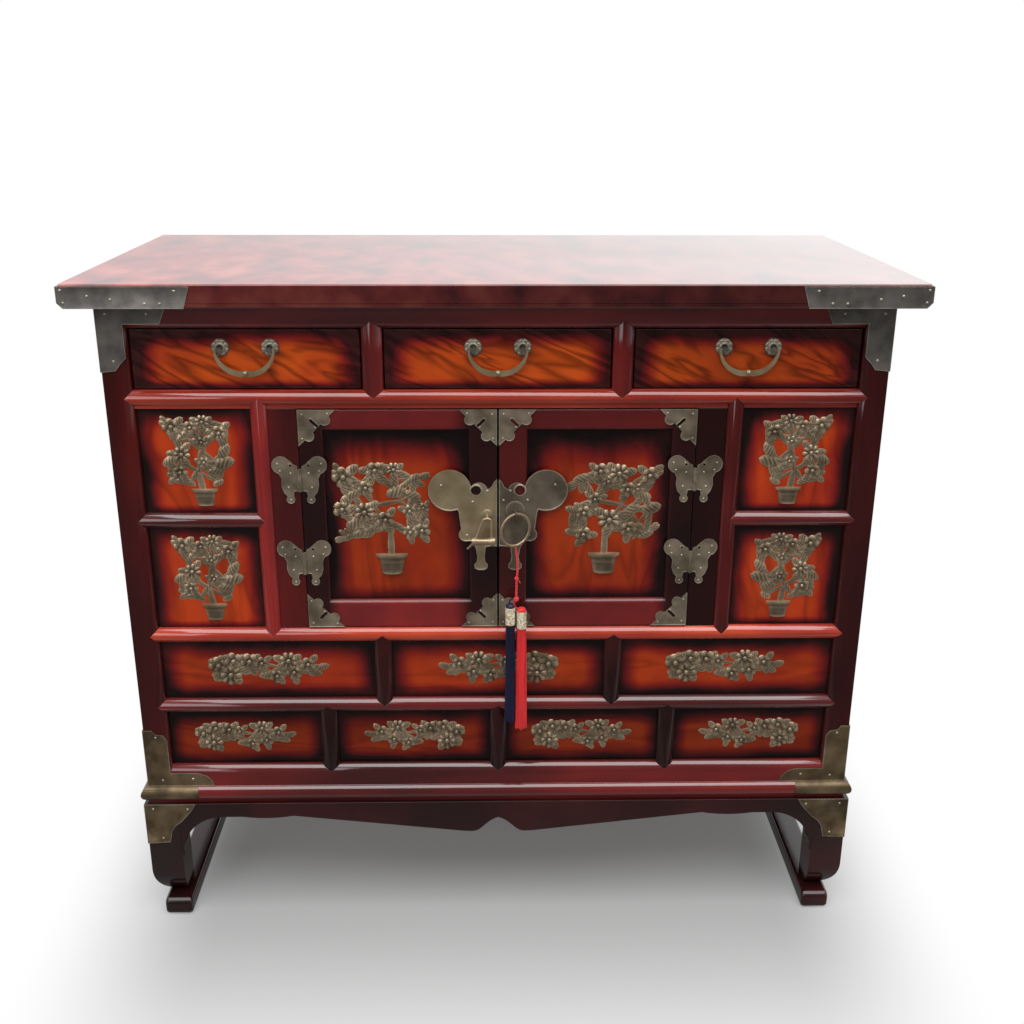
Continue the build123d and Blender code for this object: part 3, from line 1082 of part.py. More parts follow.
def ornament(x, z, depth, width, height, stem, motifs, flip=1, pot=()):
    """Ornament with its middle at x and its foot at z, on the panel's face at the given depth."""
    def spot(across, up):
        return Vector(x + flip * (across - 0.5) * width, z + up * height)

    joints = [spot(*place) for place in stem]
    with BuildPart() as plate:
        with BuildSketch(Plane.XZ.offset(-depth)):
            if pot:
                Polygon(*[spot(*place) for place in pot], align=None)
            for number, joint in enumerate(joints[1:], 1):
                strip(min(joints[:number], key=lambda other: (other - joint).length), joint)
            for outline, across, up, size, turn in motifs:
                middle = spot(across, up)
                joint = min(joints, key=lambda other: (other - middle).length)
                strip(joint, middle)
                turned = [Vector(*point, 0).rotate(Axis.Z, turn) * (size * width) for point in outline]
                Polygon(*[middle + Vector(flip * point.X, point.Y) for point in turned], align=None)
        extrude(amount=PLATE)
    return plate.part


def panel_ornament(opening, width, height, stem, motifs, flip=1, pot=()):
    """Ornament in the middle of one fixed panel."""
    x, z = opening
    return ornament(sum(x) / 2, (sum(z) - height) / 2, FIELD_Y + PANEL_RECESS, width, height, stem,
                    motifs, flip, pot)


pieces = [panel_ornament(opening, BAY_ORNAMENT_WIDTH, BAY_ORNAMENT_HEIGHT, BAY_STEM, BAY_BRANCH, flip, POT)
          for opening, flip in zip(BAY_OPENINGS, (1, 1, -1, -1))]
pieces += [panel_ornament(opening, ROW_ONE_ORNAMENT_WIDTH, ROW_ONE_ORNAMENT_HEIGHT, SPRAY_STEM, SPRAY,
                          flip) for opening, flip in zip(ROW_OPENINGS[:3], (1, -1, 1))]
pieces += [panel_ornament(opening, ROW_TWO_ORNAMENT_WIDTH, ROW_TWO_ORNAMENT_HEIGHT, SPRAY_STEM, SPRAY,
                          flip) for opening, flip in zip(ROW_OPENINGS[3:], (1, -1, 1, -1))]
save_group(pieces, "case_ornaments")

for name, side, branch in (("left", -1, LEFT_DOOR_BRANCH), ("right", 1, RIGHT_DOOR_BRANCH)):
    middle = side * (sum(panel_x) / 2 + DOOR_ORNAMENT_SHIFT)
    save_group([ornament(middle, panel_z[0] + DOOR_ORNAMENT_LIFT, panel_y[0], DOOR_ORNAMENT_WIDTH,
                         DOOR_ORNAMENT_HEIGHT, DOOR_STEM, branch, -side, POT)],
               f"door_{name}_ornament")
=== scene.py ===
"""Wedding cabinet: its lacquer, its engraved brass, and its silk cord and tassels."""
import json
from collections import Counter
from math import atan2, cos, degrees, hypot, pi, radians, sin

import bmesh
import bpy
from mathutils import Matrix, Vector

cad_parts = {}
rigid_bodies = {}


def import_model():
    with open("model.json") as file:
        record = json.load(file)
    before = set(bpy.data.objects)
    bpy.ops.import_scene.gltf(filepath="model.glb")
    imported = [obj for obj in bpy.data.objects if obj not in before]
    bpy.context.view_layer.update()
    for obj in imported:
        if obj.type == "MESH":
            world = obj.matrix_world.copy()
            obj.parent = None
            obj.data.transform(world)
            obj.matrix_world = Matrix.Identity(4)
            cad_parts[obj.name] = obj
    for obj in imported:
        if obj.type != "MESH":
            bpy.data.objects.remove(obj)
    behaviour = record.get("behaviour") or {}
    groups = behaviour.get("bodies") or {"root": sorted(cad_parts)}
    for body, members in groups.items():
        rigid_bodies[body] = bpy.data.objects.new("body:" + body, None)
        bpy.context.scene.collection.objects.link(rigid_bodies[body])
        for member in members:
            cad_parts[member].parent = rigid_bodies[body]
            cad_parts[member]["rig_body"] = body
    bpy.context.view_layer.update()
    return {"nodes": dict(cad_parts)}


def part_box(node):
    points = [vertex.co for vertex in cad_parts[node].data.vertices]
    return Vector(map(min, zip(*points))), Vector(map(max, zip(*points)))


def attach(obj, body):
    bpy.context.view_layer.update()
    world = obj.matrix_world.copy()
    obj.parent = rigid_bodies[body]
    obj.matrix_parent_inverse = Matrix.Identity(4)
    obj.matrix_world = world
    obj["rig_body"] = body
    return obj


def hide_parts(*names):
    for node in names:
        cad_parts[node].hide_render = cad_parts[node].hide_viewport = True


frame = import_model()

scene = bpy.context.scene
scene.view_settings.view_transform = "Standard"

# ---- Camera ----------------------------------------------------------
# A standing viewer's height, a pace and a half in front of the cabinet and a little left of its
# middle, looking slightly down.
LENS = 41.877
EYE = Vector((-0.0133, -1.6746, 1.1351))
YAW, PITCH, ROLL = radians(-1.237), radians(19.739), radians(0.198)

camera = bpy.data.objects.new("camera", bpy.data.cameras.new("camera"))
scene.collection.objects.link(camera)
scene.camera = camera
camera.data.lens = LENS
camera.location = EYE
camera.rotation_mode = "QUATERNION"
turn = (Matrix.Rotation(YAW, 3, "Z") @ Matrix.Rotation(pi / 2 - PITCH, 3, "X")
        @ Matrix.Rotation(ROLL, 3, "Z"))
camera.rotation_quaternion = turn.to_quaternion()

# ---- Cord of the tassels ---------------------------------------------
# Twisted red silk, looped on the ring and ending in the knot that carries both tassels.  It hangs
# straight down under their weight.
CORD_WIDTH = 0.003
CORD_ROUTE = [(0.0225, -0.2305, 0.5683), (0.0265, -0.2305, 0.546), (0.024, -0.2305, 0.521),
              (0.024, -0.2305, 0.498)]
CORD_STRANDS = 900.0            # across a metre
WAVE_STRANDS = 6.3              # across a metre, in a wave of scale 1


def new_finish(name):
    """New material, with its node tree and its Principled shader."""
    material = bpy.data.materials.new(name)
    material.use_nodes = True
    return material, material.node_tree, material.node_tree.nodes["Principled BSDF"]


def feed(tree, node, feeds):
    """Gives a node's inputs their values, or links them to the outputs that feed them."""
    for name, source in feeds.items():
        if isinstance(source, bpy.types.NodeSocket):
            tree.links.new(source, node.inputs[name])
        else:
            node.inputs[name].default_value = source


def add_node(tree, kind, feeds=None, **settings):
    """New shader node, with its settings and what feeds it."""
    node = tree.nodes.new("ShaderNode" + kind)
    for name, value in settings.items():
        setattr(node, name, value)
    feed(tree, node, feeds or {})
    return node


def on_piece(tree):
    """Place on the piece, in metres."""
    return add_node(tree, "TexCoord").outputs["Object"]


def ramp(tree, value, *stops):
    """Colour at a value between (position, colour) stops."""
    node = add_node(tree, "ValToRGB", {"Fac": value})
    elements = node.color_ramp.elements
    elements[0].position, elements[0].color = stops[0][0], (*stops[0][1], 1)
    elements[1].position, elements[1].color = stops[-1][0], (*stops[-1][1], 1)
    for position, colour in stops[1:-1]:
        elements.new(position).color = (*colour, 1)
    return node.outputs["Color"]


def relief(tree, height, strength, distance, soft_edge=0.0):
    """Normal of a surface that stands up by a pattern, with its edges rounded over."""
    bump = add_node(tree, "Bump", {"Height": height, "Strength": strength, "Distance": distance})
    if soft_edge:
        rounding = add_node(tree, "Bevel", {"Radius": soft_edge})
        tree.links.new(rounding.outputs["Normal"], bump.inputs["Normal"])
    return bump.outputs["Normal"]


red_cord, tree, shader = new_finish("red_cord")
strands = add_node(tree, "TexWave", {
    "Vector": on_piece(tree), "Scale": CORD_STRANDS / WAVE_STRANDS, "Distortion": 1.2},
    bands_direction="DIAGONAL").outputs["Fac"]
feed(tree, shader, {
    "Base Color": ramp(tree, strands, (0.1, (0.45, 0.008, 0.010)), (0.8, (0.85, 0.03, 0.035))),
    "Normal": relief(tree, strands, 0.6, 0.0004), "Roughness": 0.55, "Sheen Weight": 0.3})

line = bpy.data.curves.new("tassel_cord_thread", "CURVE")
line.dimensions = "3D"
line.bevel_depth = CORD_WIDTH / 2
line.bevel_resolution = 4
line.use_fill_caps = True
spline = line.splines.new("NURBS")
spline.points.add(len(CORD_ROUTE) - 1)
for point, spot in zip(spline.points, CORD_ROUTE):
    point.co = (*spot, 1)
spline.order_u = 3
spline.use_endpoint_u = True
line.materials.append(red_cord)
tassel_cord = bpy.data.objects.new("tassel_cord_thread", line)
scene.collection.objects.link(tassel_cord)
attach(tassel_cord, "tassels")
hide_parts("tassel_cord")

# ---- Floor and light -------------------------------------------------
# Pale seamless floor that fades to white, a broad lamp overhead whose reflection runs along every
# rail, and a soft fill from the left.  Mirrored in lacquer, the room is dim in front and brightest
# behind on the right.
FLOOR_SIZE = 40.0
FLOOR_GREY, DIM_GREY, FLOOR_GLOW = 0.36, 0.07, 0.085
FADE_BESIDE, FADE_AHEAD = (0.39, 0.66), (0.21, 0.74)    # from grey to white, by |x| and |y|
ROOM_LIGHT, DIM_ROOM = 0.42, 0.12
ROOM_WINDOWS = (("X", -0.25, 0.3, 0.82, 1.4), ("Z", 0.125, 0.158, 0.96, 1.12))


def worked(tree, operation, first, second=0.5):
    """Result of a sum on two values."""
    return add_node(tree, "Math", {0: first, 1: second}, operation=operation).outputs["Value"]


def ranged(tree, value, start, end, low=0.0, high=1.0, ease="LINEAR"):
    """Value that runs from low to high while another runs from start to end."""
    return add_node(tree, "MapRange", {
        "Value": value, "From Min": start, "From Max": end, "To Min": low, "To Max": high},
        interpolation_type=ease).outputs["Result"]


def axes(tree, vector):
    """The X, Y and Z of a vector."""
    return add_node(tree, "SeparateXYZ", {"Vector": vector}).outputs


floor_mesh = bpy.data.meshes.new("floor")
bm = bmesh.new()
bmesh.ops.create_grid(bm, x_segments=1, y_segments=1, size=FLOOR_SIZE / 2)
bm.to_mesh(floor_mesh)
bm.free()
floor = bpy.data.objects.new("floor", floor_mesh)
scene.collection.objects.link(floor)
pale, tree, shader = new_finish("pale_floor")
path = add_node(tree, "LightPath").outputs
spot = axes(tree, on_piece(tree))
behind = worked(tree, "MULTIPLY", path["Is Glossy Ray"], ranged(tree, spot["Y"], -0.6, 0.4))
in_front = worked(tree, "SUBTRACT", path["Is Glossy Ray"], behind)
seen = worked(tree, "MAXIMUM", path["Is Camera Ray"], behind)
feed(tree, shader, {
    "Base Color": ranged(tree, in_front, 0.0, 1.0, FLOOR_GREY, DIM_GREY),
    "Roughness": 0.7, "Specular IOR Level": 0.2, "Emission Color": (1, 1, 1, 1),
    "Emission Strength": worked(tree, "MULTIPLY", seen, FLOOR_GLOW)})
near = worked(tree, "MULTIPLY", *[
    ranged(tree, worked(tree, "ABSOLUTE", spot[axis]), start, end, 1.0, 0.0, ease="SMOOTHSTEP")
    for axis, (start, end) in (("X", FADE_BESIDE), ("Y", FADE_AHEAD))])
blend = add_node(tree, "MixShader", {
    "Fac": worked(tree, "MULTIPLY", worked(tree, "SUBTRACT", 1.0, near), seen),
    1: shader.outputs["BSDF"], 2: add_node(tree, "Emission").outputs["Emission"]})
feed(tree, tree.nodes["Material Output"], {"Surface": blend.outputs["Shader"]})
floor_mesh.materials.append(pale)

world = bpy.data.worlds.new("studio")
scene.world = world
world.use_nodes = True
tree = world.node_tree
path = add_node(tree, "LightPath").outputs
direct = worked(tree, "MAXIMUM", path["Is Camera Ray"], path["Is Transmission Ray"])
way = axes(tree, add_node(tree, "TexCoord").outputs["Generated"])
room = ranged(tree, way["Y"], -0.8, 0.2, DIM_ROOM, 1.0)
for axis, start, end, dull, bright in ROOM_WINDOWS:
    room = worked(tree, "MULTIPLY", room, ranged(tree, way[axis], start, end, dull, bright))
lit = add_node(tree, "Mix", {"Factor": path["Is Glossy Ray"], "A": ROOM_LIGHT, "B": room},
               data_type="FLOAT")
feed(tree, tree.nodes["Background"], {
    "Color": (1, 1, 1, 1), "Strength": worked(tree, "MAXIMUM", direct, lit.outputs["Result"])})


def lamp(name, size, power, place, aim):
    """Soft rectangular lamp that shines from its place to its aim."""
    light = bpy.data.lights.new(name, "AREA")
    light.shape = "RECTANGLE"
    light.size, light.size_y = size
    light.energy = power
    rig = bpy.data.objects.new(name, light)
    rig.location = place
    rig.rotation_mode = "QUATERNION"
    rig.rotation_quaternion = (Vector(aim) - Vector(place)).to_track_quat("-Z", "Y")
    scene.collection.objects.link(rig)


lamp("ceiling_lamp", size=(3.4, 2.2), power=85, place=(0.1, -1.4, 2.7), aim=(0.1, -1.1, 0.0))
lamp("fill_lamp", size=(1.6, 1.6), power=18, place=(-2.2, -3.0, 1.6), aim=(0, 0, 0.5))

# ---- Case frame ------------------------------------------------------
# Posts, half-round rails and dividers of hardwood under many coats of dark red lacquer, rubbed to
# a mirror.  Their arrises are slightly eased.
EASED_EDGE = 0.0008
SHARP_ANGLE = radians(35)


def noise(tree, place, scale, **feeds):
    """Soft noise of a scale at a place."""
    return add_node(tree, "TexNoise", {"Vector": place, "Scale": scale, **feeds}).outputs["Fac"]


def mapping(tree, place, **feeds):
    """A place turned or stretched."""
    return add_node(tree, "Mapping", {"Vector": place, **feeds}).outputs["Vector"]


def lacquer(name, deep, middle, warm, roughness=0.14, coat=0.25, mottle=5.0, stretch=(1, 1, 1),
            soft_edge=0.0):
    """Glossy lacquer whose tone drifts, over the faint ridges of the grain."""
    material, tree, shader = new_finish(name)
    along = mapping(tree, on_piece(tree), Scale=stretch)
    drift = noise(tree, along, mottle, Detail=5.0)
    grain = noise(tree, along, 120.0)
    feed(tree, shader, {
        "Base Color": ramp(tree, drift, (0.32, deep), (0.5, middle), (0.7, warm)),
        "Normal": relief(tree, grain, 0.1, 0.0003, soft_edge),
        "Roughness": roughness, "Coat Weight": coat, "Coat Roughness": 0.04})
    return material


def multiplied(tree, tone, shade):
    """A tone darkened by a shade."""
    return add_node(tree, "Mix", {"Factor": 1.0, "A": tone, "B": shade},
                    data_type="RGBA", blend_type="MULTIPLY").outputs["Result"]


def darker_at(material, source, axis, *stops):
    """Multiplies a tone by greys at (value, grey) stops along a source, or one axis of it."""
    tree = material.node_tree
    base = tree.nodes["Principled BSDF"].inputs["Base Color"]
    value = add_node(tree, "TexCoord" if source == "Object" else "NewGeometry").outputs[source]
    if axis:
        value = axes(tree, value)[axis]
    start, end = stops[0][0], stops[-1][0]
    greys = ramp(tree, ranged(tree, value, start, end),
                 *[((spot - start) / (end - start), (grey,) * 3) for spot, grey in stops])
    tree.links.new(multiplied(tree, base.links[0].from_socket, greys), base)
    return material


def merged(name, joined=True):
    """Copy of a CAD node's mesh, with its triangles joined into faces or left as they are."""
    mesh = frame["nodes"][name].data.copy()
    mesh.name = name + "_finished"
    bm = bmesh.new()
    bm.from_mesh(mesh)
    bmesh.ops.remove_doubles(bm, verts=bm.verts, dist=1e-6)
    if joined:
        bmesh.ops.dissolve_limit(bm, angle_limit=radians(0.5), verts=bm.verts, edges=bm.edges)
    bm.to_mesh(mesh)
    bm.free()
    mesh.materials.clear()
    return mesh


def finished(node, finish, mesh=None, edge=EASED_EDGE):
    """Piece with eased edges, which stands for a CAD node and rides where it does."""
    mesh = mesh or merged(node)
    mesh.materials.append(finish)
    mesh.shade_smooth()
    mesh.set_sharp_from_angle(angle=SHARP_ANGLE)
    piece = bpy.data.objects.new(node + "_finished", mesh)
    scene.collection.objects.link(piece)
    if edge:
        easing = piece.modifiers.new("eased", "BEVEL")
        easing.width = edge
        easing.segments = 2
        easing.limit_method = "ANGLE"
        easing.angle_limit = SHARP_ANGLE
        easing.harden_normals = True
    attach(piece, frame["nodes"][node]["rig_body"])
    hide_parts(node)
    return piece


def painted(node, finish):
    """Gives a CAD node its finish."""
    mesh = frame["nodes"][node].data
    mesh.materials.clear()
    mesh.materials.append(finish)


RAIL_RED = ((0.14, 0.010, 0.007), (0.27, 0.022, 0.011), (0.42, 0.050, 0.018))
LOW_RED = ((0.045, 0.006, 0.006), (0.105, 0.009, 0.009), (0.20, 0.015, 0.012))
# Posts and dividers: painted light, lighter on the left and darker to the right; the outer posts
# are darker still.
post_lacquer = darker_at(lacquer("post_lacquer", *LOW_RED, stretch=(2, 2, 0.6)), "Object", "X",
                         (-0.5, 0.4), (-0.4, 0.6), (-0.3, 1.7), (0.3, 0.6), (0.5, 0.3))
# Painted light: the sill rail, low on the case, is made up to 1.4 times lighter than the drawers'
# rail, against the shade on its lower half.
rail_lacquer = darker_at(lacquer("rail_lacquer", *RAIL_RED, coat=0.8, stretch=(0.6, 2, 2)),
                         "Object", "Z", (0.4, 1.4), (0.5, 1.4), (0.7, 1.0), (0.8, 1.0))
low_lacquer = lacquer("low_lacquer", *LOW_RED, coat=0.9, stretch=(0.6, 2, 2))
dark_lacquer = lacquer("dark_lacquer", (0.010, 0.003, 0.003), (0.020, 0.004, 0.004),
                       (0.045, 0.007, 0.006), coat=0.0)
# Painted shade: the right hinge stile is made far darker than the left one.
stile_lacquer = darker_at(lacquer("stile_lacquer", *LOW_RED, stretch=(2, 2, 0.6)), "Object", "X",
                          (-0.3, 0.7), (-0.25, 0.5), (0.25, 0.12), (0.3, 0.12))
for name in ("front_posts", "rear_posts", "bay_dividers", "drawer_dividers"):
    finished(name, post_lacquer)
for name in ("drawer_rail", "sill_rail"):
    finished(name, rail_lacquer)
for name in ("front_top_rail", "row_rail", "bottom_rail", "bay_rails", "side_rails"):
    finished(name, low_lacquer)
finished("hinge_stiles", stile_lacquer)
finished("row_dividers", dark_lacquer)

# ---- Shaded panels ---------------------------------------------------
# Thin figured boards sprayed orange-red in the middle and shaded through burgundy to black at
# their edges, most of all along the top, under clear lacquer.
PANEL_TONGUE = 0.005
SHADE_START = -0.02             # on the panel's map, where the spraying begins


def shaded_panel(name, stretch, lean, contrast, brightness, side, foot, top, orange=0.058,
                 murk=(0.014, 0.004, 0.004)):
    """Figured wood, shaded over a width at each edge of the panel's own map from 0 to 1."""
    material, tree, shader = new_finish(name)
    place = on_piece(tree)
    chart = axes(tree, add_node(tree, "UVMap", uv_map="panel").outputs["UV"])
    from_side, from_top, from_foot = [
        ranged(tree, distance, SHADE_START, width, ease="SMOOTHSTEP") for distance, width in (
            (worked(tree, "PINGPONG", chart["X"], 0.5), side),
            (worked(tree, "SUBTRACT", 1.0, chart["Y"]), top), (chart["Y"], foot))]
    light = worked(tree, "MULTIPLY", worked(tree, "MULTIPLY", from_side, from_top), from_foot)
    smoke = ranged(tree, noise(tree, place, 11.0, Detail=5.0), 0.25, 0.75, -0.30, 0.22)
    shades = ((0.0, murk), (0.16, (0.06, 0.007, 0.008)), (0.40, (0.20, 0.011, 0.010)),
              (0.68, (0.38, 0.4 * orange, 0.008)), (1.0, (0.60, orange, 0.007)))
    tone = ramp(tree, worked(tree, "ADD", light, smoke),
                *[(spot, [part * brightness for part in shade]) for spot, shade in shades])
    along = mapping(tree, mapping(tree, place, Rotation=(0, radians(lean), 0)), Scale=stretch)
    figure = noise(tree, along, 4.0, Detail=3.0, Distortion=0.6)
    rings = worked(tree, "PINGPONG", worked(tree, "MULTIPLY", figure, 8.0), 0.5)
    late_wood = ranged(tree, rings, 0.0, 0.35, 1 - contrast, 1.0)
    feed(tree, shader, {
        "Base Color": multiplied(tree, tone, late_wood),
        "Normal": relief(tree, noise(tree, place, 18.0), 0.2, 0.001),
        "Roughness": 0.2, "Specular IOR Level": 0.4, "Coat Weight": 0.15, "Coat Roughness": 0.04})
    return material


def mapped(node, margin):
    """Merged copy of a node whose separate panels are mapped from 0 to 1 across their openings."""
    mesh = merged(node)
    bm = bmesh.new()
    bm.from_mesh(mesh)
    uv = bm.loops.layers.uv.new("panel")
    left = set(bm.faces)
    while left:
        island, border = set(), [left.pop()]
        while border:
            face = border.pop()
            island.add(face)
            near = {other for edge in face.edges for other in edge.link_faces} & left
            left -= near
            border += near
        spots = [vert.co for face in island for vert in face.verts]
        x0, x1 = min(s.x for s in spots) + margin, max(s.x for s in spots) - margin
        z0, z1 = min(s.z for s in spots) + margin, max(s.z for s in spots) - margin
        for face in island:
            for loop in face.loops:
                co = loop.vert.co
                loop[uv].uv = ((co.x - x0) / (x1 - x0), (co.z - z0) / (z1 - z0))
    bm.to_mesh(mesh)
    bm.free()
    return mesh


upright_panel = shaded_panel("upright_panel", stretch=(3.0, 3.0, 0.8), lean=8, contrast=0.35,
                             brightness=0.75, side=0.22, foot=0.09, top=0.26)
# The lower row of these panels is made darker than the upper row.
long_panel = darker_at(
    shaded_panel("long_panel", stretch=(0.7, 3.0, 3.4), lean=0, contrast=0.3, brightness=0.62,
                 side=0.12, foot=0.30, top=0.42),
    "Object", "Z", (0.23, 0.6), (0.32, 0.6), (0.34, 1.0), (0.43, 1.0))
# Painted shade: the right drawer's panel is made darker than the other two.
drawer_panel = darker_at(
    shaded_panel("drawer_panel", stretch=(1.1, 2.0, 4.6), lean=-24, contrast=0.6, brightness=0.88,
                 side=0.15, foot=0.18, top=0.40, orange=0.082, murk=(0.05, 0.011, 0.010)),
    "Object", "X", (-0.45, 1.0), (0.1, 1.0), (0.22, 0.72), (0.45, 0.8))
for node, finish in (("bay_panels", upright_panel), ("row_panels", long_panel)):
    finished(node, finish, mesh=mapped(node, PANEL_TONGUE))
for name in ("left", "middle", "right"):
    node = f"drawer_{name}_front"
    finished(node, drawer_panel, mesh=mapped(node, 0.0), edge=0.0015)

# ---- Doors -----------------------------------------------------------
# Frames with the inner edges rounded over, nearly black along their stiles and red along their
# rails, round a panel shaded like the others.
# Painted shade: besides the near-black stiles of the two-tone lacquer, the right door's rails are
# made darker than the left door's.
door_lacquer = darker_at(
    lacquer("door_lacquer", *LOW_RED, coat=0.4, soft_edge=0.004), "Object", "X", (-0.26, 0.12),
    (-0.226, 0.15), (-0.21, 1.1), (-0.06, 1.0), (-0.038, 0.15), (0.0, 0.12), (0.004, 0.5),
    (0.038, 0.5), (0.06, 0.8), (0.21, 0.8), (0.226, 0.15), (0.26, 0.12))
# Painted highlight: the doors' bottom rails are made 1.5 times lighter.
darker_at(door_lacquer, "Object", "Z", (0.44, 1.5), (0.49, 1.5), (0.52, 1.0), (0.76, 1.0))
door_figure = shaded_panel("door_figure", stretch=(3.0, 3.0, 0.8), lean=5, contrast=0.3,
                           brightness=0.52, side=0.20, foot=0.10, top=0.26)
for side in ("left", "right"):
    node = f"door_{side}_panel"
    painted(f"door_{side}_frame", door_lacquer)
    finished(node, door_figure, mesh=mapped(node, PANEL_TONGUE))

# ---- Sides, back and inner boards ------------------------------------
# The side panels are lacquered like the frame; the back, the floor of the case, the board under
# the drawers and the drawers' boxes are bare.
side_lacquer = lacquer("side_lacquer", (0.02, 0.004, 0.005), (0.06, 0.006, 0.008),
                       (0.13, 0.012, 0.012), mottle=4.0, stretch=(1, 2.5, 0.6))
finished("side_panels", side_lacquer)

bare_wood, tree, shader = new_finish("bare_wood")
along = mapping(tree, on_piece(tree), Scale=(3.0, 40.0, 40.0))
figure = noise(tree, along, 2.0, Detail=8.0)
feed(tree, shader, {
    "Base Color": ramp(tree, figure, (0.3, (0.26, 0.15, 0.08)), (0.7, (0.50, 0.34, 0.20))),
    "Normal": relief(tree, figure, 0.3, 0.0005), "Roughness": 0.65})
for name in ("back_panel", "floor_board", "dust_board", "drawer_left_box", "drawer_middle_box",
             "drawer_right_box"):
    painted(name, bare_wood)

# ---- Top -------------------------------------------------------------
# One wide board faced with burr veneer and lacquered to a deep mirror.  Its upper arrises carry
# a pale painted highlight, and its tone is painted lighter to the left, darker to the right and
# darker on its edges, as painted light and shade.
WEAR_AND_HIGHLIGHT_SLOT = 1                      # slot of the edge finish: rubbed brass on plate rims, a painted highlight on the top's arrises

burr = lacquer("burr_lacquer", (0.09, 0.018, 0.022), (0.23, 0.034, 0.032), (0.36, 0.080, 0.06),
               roughness=0.2, coat=0.5, mottle=22.0, stretch=(1.0, 0.55, 1.0))
# Painted light: the burr's tone is lighter to the left and darker to the right.
darker_at(burr, "Object", "X", (-0.5, 1.7), (-0.1, 1.2), (0.3, 0.7), (0.5, 0.7))
# Painted shade: the board's edges and underside are darker than its top.
darker_at(burr, "Normal", "Z", (0.0, 0.27), (0.5, 0.4), (0.9, 1.0), (1.0, 1.0))
# Painted highlight for the bevel of the top's upper arrises: pale where it faces up, fading to
# dark where it faces forward.
painted_arris_highlight = darker_at(
    lacquer("painted_arris_highlight", (0.42, 0.30, 0.29), (0.60, 0.48, 0.46), (0.70, 0.60, 0.57),
            roughness=0.25, coat=1.0),
    "Normal", "Z", (0.0, 0.06), (0.2, 0.2), (0.45, 1.0), (1.0, 1.0))
top = finished("top_panel", burr, edge=0.0018)
top.data.materials.append(painted_arris_highlight)
top.modifiers["eased"].material = WEAR_AND_HIGHLIGHT_SLOT

# ---- Stand -----------------------------------------------------------
# Moulding the case sits in, over a stand with curved legs on two floor runners, in the darkest
# lacquer.
painted("base_moulding", low_lacquer)
for name, edge in (("legs", 0.0006), ("floor_runners", 0.005), ("front_apron", 0.0006),
                   ("stand_rails", 0.0015)):
    finished(name, dark_lacquer, edge=edge)

# ---- Corner pieces ---------------------------------------------------
# Sheet brass gone dull and greenish grey, folded round the corners of the top, the case and the
# stand, and held with small domed nails.
NAIL_RADIUS = 0.0018
NAIL_DOME, NAIL_SEAT = 0.62, 0.1         # height and depth of a head against its radius
FRONT_Y, STAND_Y, TOP_Y = -0.2202, -0.2272, -0.249


def aged_brass(name, dark, light, roughness=0.4):
    """Brass half hidden by a cloudy, dull patina, finely dented by hammer and polishing."""
    material, tree, shader = new_finish(name)
    place = on_piece(tree)
    patina = noise(tree, place, 38.0, Detail=8.0)
    feed(tree, shader, {
        "Base Color": ramp(tree, patina, (0.35, dark), (0.7, light)),
        "Roughness": ranged(tree, patina, 0.0, 1.0, roughness + 0.14, roughness - 0.10),
        "Normal": relief(tree, noise(tree, place, 210.0), 0.4, 0.0004), "Metallic": 0.55})
    return material


def plate(name, finish, rubbed, rim=0.0007, depth=0.0003):
    """Piece for a plate's node, whose outline stands up round its face as a fine, rubbed rim."""
    mesh = merged(name, joined=False)
    bm = bmesh.new()
    bm.from_mesh(mesh)
    fronts = [part for part in bm.faces if part.normal.y < -0.99]
    levels = Counter()
    for part in fronts:
        levels[round(part.calc_center_median().y, 4)] += part.calc_area()
    level = levels.most_common(1)[0][0]
    face = [part for part in fronts if abs(part.calc_center_median().y - level) < 0.0002]
    edging = bmesh.ops.inset_region(bm, faces=face, thickness=rim, use_even_offset=True)
    for part in edging["faces"]:
        part.material_index = WEAR_AND_HIGHLIGHT_SLOT
    bmesh.ops.inset_region(bm, faces=face, thickness=depth, depth=-depth, use_even_offset=True)
    bm.to_mesh(mesh)
    bm.free()
    piece = finished(name, finish, mesh=mesh, edge=0.0003)
    piece.data.materials.append(rubbed)


def add_piece(name, bm, body, finish, sharp_angle=None, node=None):
    """Piece of a closed bmesh, which rides on a body and may stand for a CAD node."""
    bmesh.ops.recalc_face_normals(bm, faces=bm.faces)
    mesh = bpy.data.meshes.new(name)
    bm.to_mesh(mesh)
    bm.free()
    mesh.materials.append(finish)
    mesh.shade_smooth()
    if sharp_angle:
        mesh.set_sharp_from_angle(angle=radians(sharp_angle))
    piece = bpy.data.objects.new(name, mesh)
    scene.collection.objects.link(piece)
    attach(piece, body)
    if node:
        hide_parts(node)
    return piece


def nails(name, body, finish, places, radius=NAIL_RADIUS):
    """Domed nail heads at (x, y, z), y being the face that they are driven into."""
    bm = bmesh.new()
    for x, y, z in places:
        seat = (Matrix.Translation((x, y + NAIL_SEAT * radius, z))
                @ Matrix.Diagonal((1, NAIL_DOME, 1, 1)))
        bmesh.ops.create_uvsphere(bm, u_segments=12, v_segments=8, radius=radius, matrix=seat)
    add_piece(name, bm, body, finish)


def both_sides(*places):
    """The places and their mirror images on the other side of the cabinet."""
    return [(side * x, y, z) for x, y, z in places for side in (-1, 1)]


